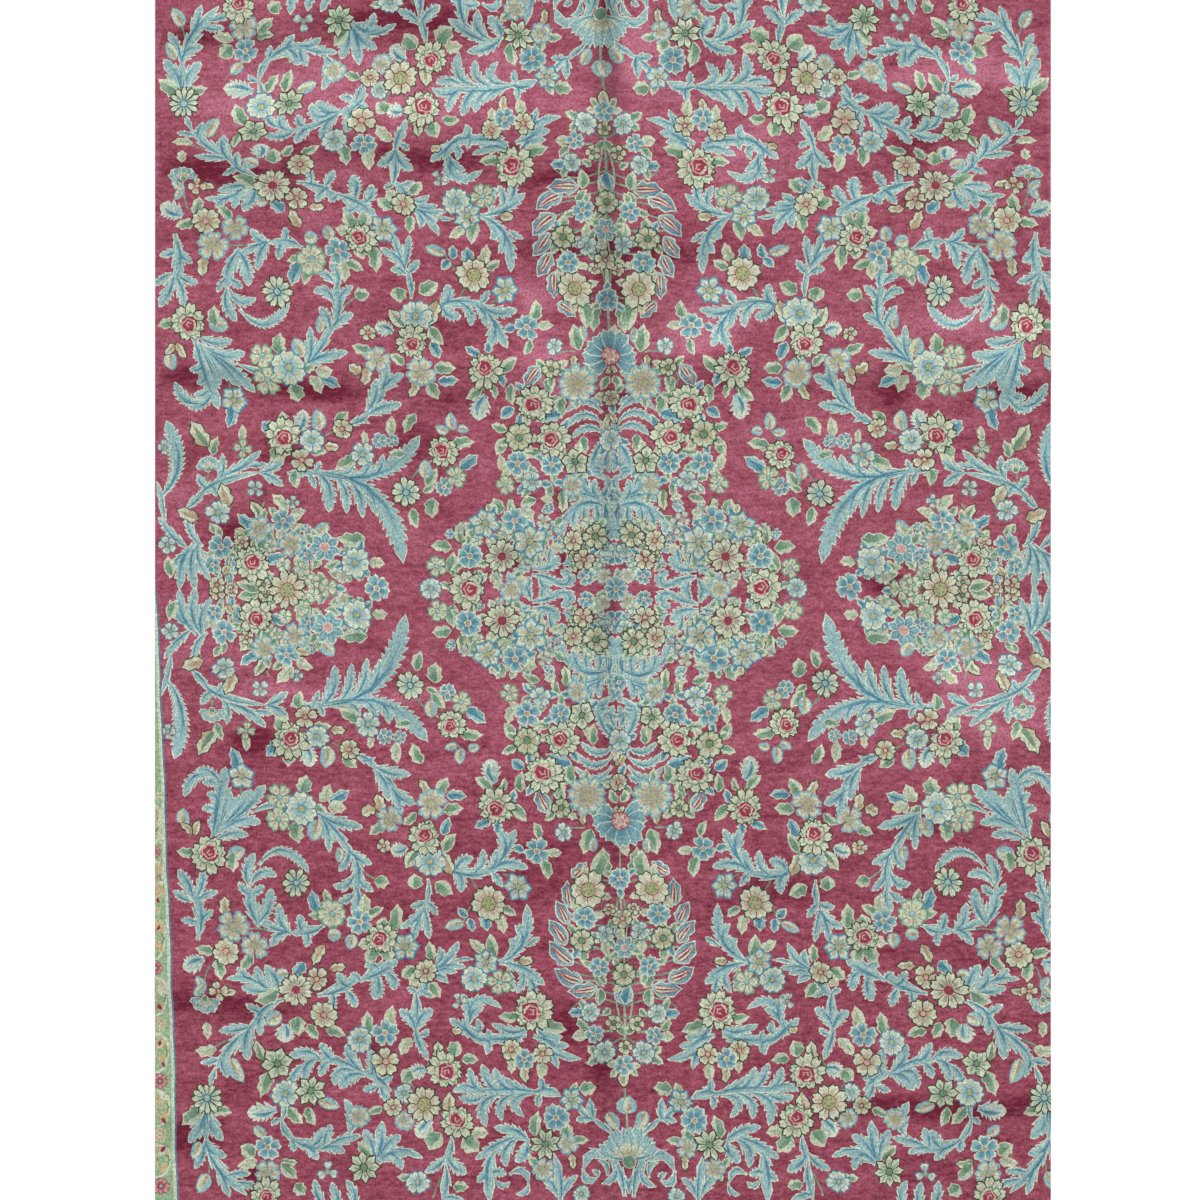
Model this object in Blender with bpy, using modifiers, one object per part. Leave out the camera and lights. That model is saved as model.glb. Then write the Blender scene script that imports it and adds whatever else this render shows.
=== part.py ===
"""Hand-knotted floral rug, lying flat: one solid wool slab with the soft ripples of a rug that was folded.

The grid below is the underside. Its rows and columns stand closer together where a ripple or the
centre crease crosses them, every point is lifted by the folds, and Solidify adds the rug's thickness
upwards. Away from the folds the underside lies flat on z = 0.
"""

from collections import namedtuple

import bmesh
import bpy
import numpy as np

# Driving dimensions, in metres. +Y runs up the pile's length, +Z is up.
RUG_WIDTH = 1.94
RUG_LENGTH = 2.70
RUG_THICKNESS = 0.011  # knotted pile on its woven foundation
EDGE_ROUND = 0.003  # the pile's worn rim
COLUMN_SPACING = 0.115  # between folds
ROW_SPACING = 0.125
STATIONS_ACROSS_A_FOLD = (-1.0, -0.5, 0.0, 0.5, 1.0)  # in half widths, from its middle
END_FADE = 0.16  # how far a ripple takes to die away at its ends
EDGE_SIDE = 1.0e-6  # stations closer than this to a side are that side

# A ripple runs across the rug, at the height centre_y, from from_x to to_x.
Ripple = namedtuple("Ripple", "name centre_y from_x to_x half_width height")
RIPPLES = (
    Ripple("far_end_left", 1.255, -1.10, -0.18, 0.080, 0.0060),
    Ripple("far_broad", 1.030, -1.10, 0.10, 0.115, 0.0065),
    Ripple("far_broad_right", 1.060, 0.12, 1.10, 0.105, 0.0035),
    Ripple("below_crown", 0.815, -0.24, 0.36, 0.070, 0.0045),
    Ripple("over_medallion", 0.505, -1.10, 1.10, 0.062, 0.0050),
    Ripple("left_shoulder", 0.345, -1.10, -0.62, 0.055, 0.0035),
    Ripple("near_left", -0.845, -1.10, -0.62, 0.055, 0.0035),
    Ripple("near_right", -1.085, 0.42, 1.10, 0.075, 0.0040),
)

# The centre crease runs along the rug from its far end and dies away above the middle.
CREASE_HALF_WIDTH = 0.050
CREASE_HEIGHT = 0.0060
CREASE_LOW_END = 0.30
CREASE_FADE = 0.35
CREASE_FOOT_X = 0.053  # where its line would meet the rug's near end
CREASE_LEAN = -0.0215  # how far it leans to +X over each metre of length

# Rows wander a little across the rug, so that no ripple is a ruled line.
WANDER = 0.012
WANDER_WAVES = 1.3
WANDER_PHASE = 0.6

WOOL_COLOUR = (0.36, 0.055, 0.10, 1.0)
WOOL_ROUGHNESS = 0.9


def smooth_step(value):
    """0 below zero, 1 above one, and an S-curve between them."""
    inside = np.clip(value, 0.0, 1.0)
    return inside ** 2 * (3.0 - 2.0 * inside)


def raised_cosine(distance, half_width):
    """A soft ridge: 1 in the middle, 0 from a half width outwards."""
    part = np.clip(np.abs(distance) / half_width, 0.0, 1.0)
    return 0.5 + 0.5 * np.cos(np.pi * part)


def fold_height(column, row):
    """Height of the underside over the floor. Where folds cross, a soft maximum takes the taller one."""
    heights = []
    for ripple in RIPPLES:
        starts = smooth_step((column - ripple.from_x) / END_FADE)
        stops = smooth_step((ripple.to_x - column) / END_FADE)
        across = raised_cosine(row - ripple.centre_y, ripple.half_width)
        heights.append(ripple.height * starts * stops * across)
    along_crease = smooth_step((row - CREASE_LOW_END) / CREASE_FADE)
    heights.append(CREASE_HEIGHT * along_crease * raised_cosine(column, CREASE_HALF_WIDTH))
    return np.cbrt(sum(height ** 3 for height in heights))


def stations(half_size, folds, spacing):
    """Places of the rows or columns: some on each fold (its middle, its half width), the rest spread evenly."""
    places = {-half_size, half_size}
    for middle, half_width in folds:
        places.update(middle + step * half_width for step in STATIONS_ACROSS_A_FOLD)
    ordered = sorted(place for place in places if abs(place) <= half_size + EDGE_SIDE)
    spread = [ordered[0]]
    for place in ordered[1:]:
        last = spread[-1]
        if place - last < spacing / 8.0 and place < half_size:
            continue
        steps = max(1, round((place - last) / spacing))
        spread.extend(np.linspace(last, place, steps + 1)[1:])
    return np.array(spread)


def place_points(columns, rows):
    """Where each grid point lies: the middle columns follow the crease's lean, and the rows wander."""
    column, row = np.meshgrid(columns, rows)
    inner_x = 1.0 - (np.abs(column) * 2.0 / RUG_WIDTH) ** 2
    inner_y = 1.0 - (np.abs(row) * 2.0 / RUG_LENGTH) ** 4
    lean = CREASE_FOOT_X + CREASE_LEAN * (row + RUG_LENGTH / 2.0)
    x = column + lean * inner_x * inner_y
    y = row + WANDER * inner_y * np.sin(WANDER_WAVES * 2.0 * np.pi * column / RUG_WIDTH + WANDER_PHASE)
    return np.stack([x, y, fold_height(column, row)], axis=-1).reshape(-1, 3)


def wool_material():
    material = bpy.data.materials.new("rug_wool")
    material.use_nodes = True
    shader = material.node_tree.nodes["Principled BSDF"]
    shader.inputs["Base Color"].default_value = WOOL_COLOUR
    shader.inputs["Roughness"].default_value = WOOL_ROUGHNESS
    shader.inputs["Metallic"].default_value = 0.0
    return material


def make_rug(collection):
    columns = stations(RUG_WIDTH / 2.0, [(0.0, CREASE_HALF_WIDTH)], COLUMN_SPACING)
    rows = stations(RUG_LENGTH / 2.0, [(ripple.centre_y, ripple.half_width) for ripple in RIPPLES], ROW_SPACING)
    grid = bmesh.new()
    bmesh.ops.create_grid(grid, x_segments=len(columns) - 1, y_segments=len(rows) - 1, size=0.5)
    ordered = sorted(grid.verts, key=lambda vertex: (round(vertex.co.y, 6), round(vertex.co.x, 6)))
    for vertex, place in zip(ordered, place_points(columns, rows)):
        vertex.co = place
    mesh = bpy.data.meshes.new("rug")
    grid.to_mesh(mesh)
    grid.free()
    mesh.materials.append(wool_material())
    rug = bpy.data.objects.new("rug", mesh)
    collection.objects.link(rug)

    thickness = rug.modifiers.new("thickness", "SOLIDIFY")
    thickness.thickness = RUG_THICKNESS
    thickness.offset = 1.0
    rim = rug.modifiers.new("worn_rim", "BEVEL")
    rim.width = EDGE_ROUND
    rim.segments = 1
    rim.limit_method = "ANGLE"
    rim.angle_limit = np.radians(60.0)
    return rug


def main():
    for old in list(bpy.data.objects):
        bpy.data.objects.remove(old, do_unlink=True)
    collection = bpy.data.collections.new("persian_rug")
    bpy.context.scene.collection.children.link(collection)
    make_rug(collection)


main()
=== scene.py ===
"""Persian rug: the knotted pile, its woven back and the stage, laid out as a Blender add-on.

The quarter design is charted in squares, the way a rug's cartoon is, from the middle of the medallion
outwards. Functions turn each row of the charts into petals, leaves and plumes, which are laid over each other
into one flat map of wool colours and lifted onto the rug's folds.
"""

import math
from collections import namedtuple

import bpy
import numpy as np
from bpy.props import FloatProperty, FloatVectorProperty, PointerProperty
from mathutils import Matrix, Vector
from mathutils.geometry import delaunay_2d_cdt


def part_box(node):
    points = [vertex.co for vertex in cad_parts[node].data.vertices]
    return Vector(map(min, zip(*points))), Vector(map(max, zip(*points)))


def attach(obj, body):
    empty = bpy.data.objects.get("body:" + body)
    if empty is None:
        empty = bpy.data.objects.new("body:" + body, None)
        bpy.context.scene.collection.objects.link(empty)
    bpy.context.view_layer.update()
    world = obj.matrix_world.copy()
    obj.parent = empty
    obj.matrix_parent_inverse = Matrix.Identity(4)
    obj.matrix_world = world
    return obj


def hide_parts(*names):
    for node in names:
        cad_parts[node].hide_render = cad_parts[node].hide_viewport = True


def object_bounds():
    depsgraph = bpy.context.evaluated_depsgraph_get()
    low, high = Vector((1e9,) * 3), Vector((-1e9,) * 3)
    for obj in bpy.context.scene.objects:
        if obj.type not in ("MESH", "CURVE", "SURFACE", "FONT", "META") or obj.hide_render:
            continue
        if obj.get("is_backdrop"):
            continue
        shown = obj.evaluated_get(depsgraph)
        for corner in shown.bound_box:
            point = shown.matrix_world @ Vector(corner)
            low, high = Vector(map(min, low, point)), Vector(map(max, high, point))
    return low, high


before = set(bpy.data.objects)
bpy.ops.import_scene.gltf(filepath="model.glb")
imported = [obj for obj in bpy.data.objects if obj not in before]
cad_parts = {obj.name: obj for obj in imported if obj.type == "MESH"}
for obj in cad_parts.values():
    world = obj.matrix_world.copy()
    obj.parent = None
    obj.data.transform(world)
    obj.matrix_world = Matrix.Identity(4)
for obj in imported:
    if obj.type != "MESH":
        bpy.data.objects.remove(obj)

bl_info = {
    "name": "Persian rug",
    "version": (1, 0, 0),
    "blender": (4, 5, 0),
    "location": "View3D > Sidebar > Persian rug",
    "description": "Makes a knotted floral rug from a hand-charted quarter design",
    "category": "Add Mesh",
}

CAD_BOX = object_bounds()
LOW, HIGH = (np.array(corner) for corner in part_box("rug"))
NODE = "rug"
BODY = "root"

# ---------------------------------------------------------------- sizes and colours a user may change


def length(name, description, default):
    return FloatProperty(name=name, description=description, default=default, unit="LENGTH", precision=5)


def colour(name, description, red, green, blue):
    """A colour as it looks on a screen, from 0 to 255 a channel."""
    return FloatVectorProperty(
        name=name, description=description, subtype="COLOR_GAMMA", size=3, min=0.0, max=1.0,
        default=(red / 255, green / 255, blue / 255),
    )


class RugSizes(bpy.types.PropertyGroup):
    """Sizes of the rug and of its charted design."""

    square: length("Chart square", "Side of one square of the chart", 0.002165)
    centre_x: length("Design centre X", "Where the medallion's middle lies across the rug", 0.025)
    centre_y: length("Design centre Y", "Where the medallion's middle lies along the rug", 0.024)
    thickness: length("Thickness", "Pile and foundation together", 0.011)
    foundation: length("Foundation", "Thickness of the woven foundation", 0.003)
    rim: length("Worn rim", "Radius of the pile's worn edge", 0.003)
    knot: length("Knot", "Width of one knot", 0.0021)
    mesh: length("Ground mesh", "Spacing of the ground's points", 0.015)
    lean: FloatProperty(
        name="Lean", description="How far the design leans over each metre of length", default=-0.023,
    )


class RugColours(bpy.types.PropertyGroup):
    """Colours of the wool."""

    ground: colour("Ground", "Rose red ground, as it looks with the nap", 159, 81, 99)
    # The next two are lit and shaded copies of the ground: painted shade and painted sheen where the nap and
    # the folds turn from or towards the light.
    ground_painted_shade: colour("Ground, shaded", "The ground where the nap turns to the light", 108, 26, 50)
    ground_painted_sheen: colour("Ground, bright", "The ground where the nap turns away", 190, 114, 136)
    pale: colour("Pale blue", "Outlines of the blue leaves", 206, 216, 196)
    blue: colour("Blue", "Body of the blue leaves", 150, 184, 184)
    azure: colour("Azure", "Body of the blue flowers", 126, 168, 174)
    deep: colour("Deep blue", "Streaks in the blue leaves and rims of blue flowers", 84, 134, 154)
    cream: colour("Cream", "Light petals", 202, 208, 182)
    tan: colour("Tan", "Shading in the light petals", 176, 156, 128)
    olive: colour("Olive", "Dark outlines of the light petals", 66, 68, 50)
    green: colour("Green", "Leaves", 162, 186, 158)
    moss: colour("Moss", "Veins of leaves", 110, 144, 120)
    gold: colour("Gold", "Hearts of flowers", 170, 168, 122)
    pink: colour("Pink", "Lines in the roses", 206, 160, 152)
    crimson: colour("Crimson", "Hearts of the roses", 150, 60, 80)
    guard: colour("Guard green", "Ground of the guard stripe", 152, 180, 144)
    straw: colour("Straw", "Scrolls and flowers of the guard stripe", 198, 178, 136)
    cotton: colour("Cotton", "Warp and weft of the foundation", 206, 192, 166)


WOOLS = (
    "pale", "blue", "azure", "deep", "cream", "tan", "olive",
    "green", "moss", "gold", "pink", "crimson", "guard", "straw",
)


def chart(text):
    """Rows of a chart, each with its columns' names. Words stay words, all else is a number."""
    lines = text.strip().splitlines()
    Row = namedtuple("Row", lines[0])
    return [Row(*(word if word.isalpha() else float(word) for word in line.split())) for line in lines[1:]]


def columns(text):
    """A chart of numbers as one array for each of its columns."""
    rows = chart(text)
    return type(rows[0])(*np.array(rows).T)


# ---------------------------------------------------------------- the charted quarter design
# u counts squares from the rug's long centre line outwards, v from the short one towards an end. A width
# is half of the whole, and a turn is in degrees. The quarter is mirrored to all four.

PLUMES = """
base_u base_v bend_u bend_v tip_u tip_v width teeth
82 14 66 10 50 3 5 3
82 20 60 20 55 34 6 3
62 8 44 0 41 15 5 1
44 14 50 20 54 14 4 0
52 24 38 28 41 42 5 1
44 42 52 44 54 36 4 0
66 24 64 42 53 46 5 2
74 24 78 38 69 46 5 3
80 24 92 24 93 36 5 2
84 18 98 22 98 8 5 2
84 12 86 0 95 -3 5 2
74 12 72 0 65 -4 4 2
96 12 104 8 106 18 4 1
50 4 42 12 54 18 4 0
4 92 8 70 2 46 7 4
0 44 6 30 18 24 5 1
0 60 12 52 18 60 5 2
6 80 28 92 52 68 7 5
10 86 30 100 52 86 4 3
44 76 56 66 49 55 5 3
34 82 42 70 38 58 5 3
28 84 30 68 23 62 5 3
18 84 14 70 20 60 5 2
8 84 4 74 8 62 5 2
10 88 22 96 16 110 5 3
16 94 30 98 30 110 5 2
24 100 28 114 40 118 5 2
8 98 -2 106 8 114 4 1
22 116 12 118 8 108 4 0
4 152 14 136 22 113 6 4
1 140 8 128 2 116 4 2
8 118 14 122 22 116 4 0
0 130 10 122 16 128 3 1
300 118 226 113 209 24 10 9
248 100 240 92 236 70 4 3
263 107 252 96 250 70 5 3
278 113 264 98 266 75 5 3
297 118 281 104 283 77 7 4
300 118 228 97 190 153 8.5 9
272 114 262 116 259 128 4 2
256 111 246 116 241 131 4 2
241 112 231 119 229 135 4 2
326 117 312 119 296 117 4 1
305 118 300 111 298 102 3 1
298 118 295 123 293 129 3 1
352 117 339 112 330 104 5 1
352 117 337 121 328 133 5 1
402 103 378 112 350 117 3 0
413 92 399 106 370 112 5 2
394 108 387 119 391 135 4 2
402 104 396 99 394 92 3 1
404 100 410 106 415 115 4 2
425 79 415 88 404 102 4 1
393 112 368 119 350 139 5 2
364 122 353 124 344 126 3 1
424 38 441 52 453 71 4 2
446 62 448 82 455 107 3 1
451 90 423 120 445 169 8 9
410 42 425 52 424 78 4 2
414 46 420 30 403 7 5 3
416 44 427 24 419 -2 6 3
420 44 436 26 436 -1 6 3
420 38 441 31 446 10 4 2
412 38 402 30 391 7 4 2
388 32 384 14 383 -4 4 2
8 158 24 170 38 152 4 3
8 166 28 187 45 161 4 4
8 176 28 202 45 177 4 4
8 184 16 192 22 190 3 1
0 172 10 160 4 150 4 1
176 280 150 290 120 281 5 1
130 284 112 271 91 280 6 3
125 280 113 262 103 240 6 4
119 272 111 256 123 238 6 2
135 284 121 275 124 261 5 3
152 286 134 278 138 261 5 3
167 285 161 271 147 271 6 3
129 284 124 290 119 299 4 1
170 280 157 289 161 304 6 3
227 196 215 210 203 214 6 1
227 197 221 212 218 225 5 1
242 176 228 182 207 185 6 3
243 178 232 192 230 211 6 3
263 166 250 168 239 179 4 1
256 170 248 171 241 166 2 0
234 184 229 191 222 201 4 0
195 290 193 305 197 320 3 0
197 314 190 321 185 328 4 1
197 313 204 320 213 318 4 1
198 318 203 330 223 340 5 2
199 318 196 338 194 352 4 2
200 326 206 340 210 354 4 1
408 252 386 242 372 248 5 2
404 243 376 227 360 236 6 3
398 238 370 216 354 197 7 4
400 238 378 214 368 202 6 3
403 238 390 218 384 209 4 2
406 246 396 220 388 203 6 3
410 252 401 215 392 178 8 5
402 216 405 204 413 205 4 2
404 224 410 216 419 219 4 2
407 242 408 234 414 230 4 1
397 196 406 180 423 180 5 3
408 184 430 184 435 207 6 3
400 198 410 190 416 194 4 2
370 226 350 214 333 217 3 0
363 277 338 246 313 285 5 7
373 297 377 280 366 265 6 2
371 296 362 277 345 288 5 3
361 337 374 315 372 296 7 1
371 305 363 301 358 296 4 1
373 306 379 302 383 293 4 1
366 336 351 320 352 299 7 4
425 352 418 326 426 302 6 2
426 312 417 298 417 279 5 2
427 312 432 296 443 281 6 3
424 314 414 306 402 304 4 2
428 314 438 309 447 302 4 2
421 336 416 328 408 323 4 1
423 336 431 332 440 331 4 1
303 222 284 234 257 238 6 3
301 223 292 240 293 263 5 2
299 225 283 246 267 268 5 1
273 258 262 270 249 274 5 2
272 259 274 272 283 281 5 2
268 264 261 284 267 303 6 2
264 284 258 296 249 301 4 2
267 282 276 302 289 294 5 1
266 296 262 311 272 323 5 2
268 302 275 311 285 313 4 1
125 373 93 358 97 315 7 5
103 357 99 345 109 335 4 1
97 357 90 352 83 348 3 1
115 364 105 350 116 350 4 0
121 373 98 376 79 396 6 4
114 378 116 391 109 401 5 2
101 380 98 392 107 403 4 2
95 386 90 396 92 411 5 2
158 440 152 395 122 419 5 4
156 438 151 419 161 405 5 2
153 432 150 421 139 418 4 1
152 444 141 441 147 429 4 1
154 447 162 438 173 429 5 2
159 430 158 452 118 452 6 1
126 453 106 453 97 438 6 1
136 452 134 446 138 439 3 0
98 438 108 447 133 434 5 3
87 435 79 450 60 447 5 2
82 443 70 457 55 456 5 2
192 381 172 372 165 353 5 1
190 382 176 376 157 379 4 2
150 371 160 370 174 375 2 0
189 377 178 369 184 359 4 0
188 385 178 380 166 385 4 1
190 389 182 385 174 395 4 0
192 384 197 396 207 408 6 0
202 400 196 406 187 408 3 1
206 405 212 401 217 400 3 1
208 402 206 420 208 440 5 0
208 443 202 426 189 420 6 3
208 443 212 428 225 423 6 3
208 440 206 452 198 473 5 2
204 447 198 446 194 440 3 1
298 336 314 345 332 342 5 1
318 343 320 334 322 325 5 1
316 342 313 350 317 357 4 1
330 344 341 336 343 314 6 3
331 342 345 344 351 357 5 1
332 342 346 338 362 331 5 1
344 401 349 390 358 375 7 3
349 402 366 397 366 377 6 3
346 402 372 402 383 398 5 2
362 397 374 387 397 390 4 2
370 393 380 386 385 379 4 2
340 410 364 417 377 446 5 1
362 424 370 420 380 415 4 1
362 423 367 434 364 445 5 1
371 432 382 450 378 470 7 2
374 436 390 439 408 442 5 3
378 440 397 458 409 480 6 1
404 468 402 478 398 489 4 1
406 470 414 474 425 475 4 1
409 478 413 488 417 498 3 0
305 405 276 400 261 386 6 1
263 393 240 382 224 371 7 2
242 382 250 374 257 379 4 1
238 383 226 391 230 403 6 2
246 387 243 402 250 412 7 3
262 393 266 388 272 385 4 1
272 399 280 394 285 383 5 2
276 401 272 409 267 419 5 2
290 402 290 411 293 423 4 2
90 446 70 454 61 464 6 0
86 448 67 470 43 470 5 0
76 458 70 470 67 480 4 0
97 446 122 450 152 447 5 1
144 449 131 453 139 465 5 0
80 505 122 497 172 503 4 0
94 505 79 499 65 509 6 0
86 504 84 497 86 487 4 0
86 505 91 512 88 519 4 0
92 504 112 498 123 487 4 3
110 503 127 494 130 477 5 3
127 503 137 493 143 473 6 3
140 503 157 494 156 477 5 3
147 502 160 491 173 503 4 2
95 505 127 508 104 528 5 2
112 504 134 511 126 531 5 3
126 504 154 511 142 538 6 3
142 505 156 513 168 507 5 2
12 547 24 537 37 528 3 0
35 533 35 522 36 509 5 0
34 531 42 530 51 533 4 1
36 530 45 524 50 511 3 0
14 574 43 553 46 582 5 0
46 580 44 600 31 590 4 0
32 590 30 584 38 583 3 0
4 608 8 576 20 566 5 0
12 578 13 594 27 596 4 0
21 588 19 572 31 573 3 0
0 604 2 590 8 584 3 0
68 618 68 590 75 565 5 0
66 608 62 593 51 588 4 1
71 608 78 592 87 589 5 1
98 553 112 539 135 538 6 2
100 551 101 564 112 573 7 3
110 549 127 560 121 579 6 1
112 547 131 556 153 571 6 2
134 562 141 580 138 614 7 1
137 585 130 582 121 586 5 2
140 583 144 588 151 593 4 1
119 586 102 573 100 595 4 0
100 594 100 608 113 606 3 0
133 590 125 604 118 593 3 0
176 546 178 562 182 577 4 0
181 566 172 578 160 584 6 2
182 566 190 576 203 582 5 2
182 574 180 592 184 614 5 0
184 608 175 606 161 612 4 0
238 561 220 559 205 568 4 1
242 566 228 565 226 581 5 2
237 503 250 488 264 482 5 1
247 496 242 490 234 488 4 1
247 495 244 504 240 513 5 1
250 497 256 500 265 502 4 1
257 489 251 474 256 460 6 2
262 485 277 470 280 455 6 2
262 486 278 484 287 501 7 4
270 484 291 477 292 499 6 2
264 484 286 470 310 470 5 1
291 472 300 466 306 453 6 2
297 473 304 478 306 489 5 1
306 472 320 459 339 468 6 3
310 471 325 474 322 495 6 3
322 475 334 482 336 498 5 2
344 532 341 520 340 510 3 0
344 530 350 530 354 537 3 0
344 528 342 547 330 552 4 0
337 548 316 561 296 558 6 1
302 558 284 552 265 548 5 2
303 559 300 546 296 537 5 2
317 558 308 552 304 539 6 2
306 561 292 556 281 565 5 2
322 556 316 562 308 571 5 2
336 550 334 556 333 563 4 1
279 547 269 532 283 511 6 2
420 512 418 536 402 551 7 2
422 512 424 538 439 553 7 2
420 512 421 530 420 552 6 0
420 548 418 563 399 566 6 2
421 550 424 566 433 579 5 2
419 556 411 579 382 606 6 1
410 576 404 592 400 608 5 1
401 586 388 583 377 584 4 2
395 592 380 595 367 599 4 1
251 573 246 556 245 532 7 1
251 573 256 554 263 541 6 2
249 573 238 552 226 546 6 2
249 575 236 562 219 564 6 2
276 620 271 602 281 591 5 1
290 622 291 606 295 593 5 1
304 620 311 606 312 591 5 1
"""

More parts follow.
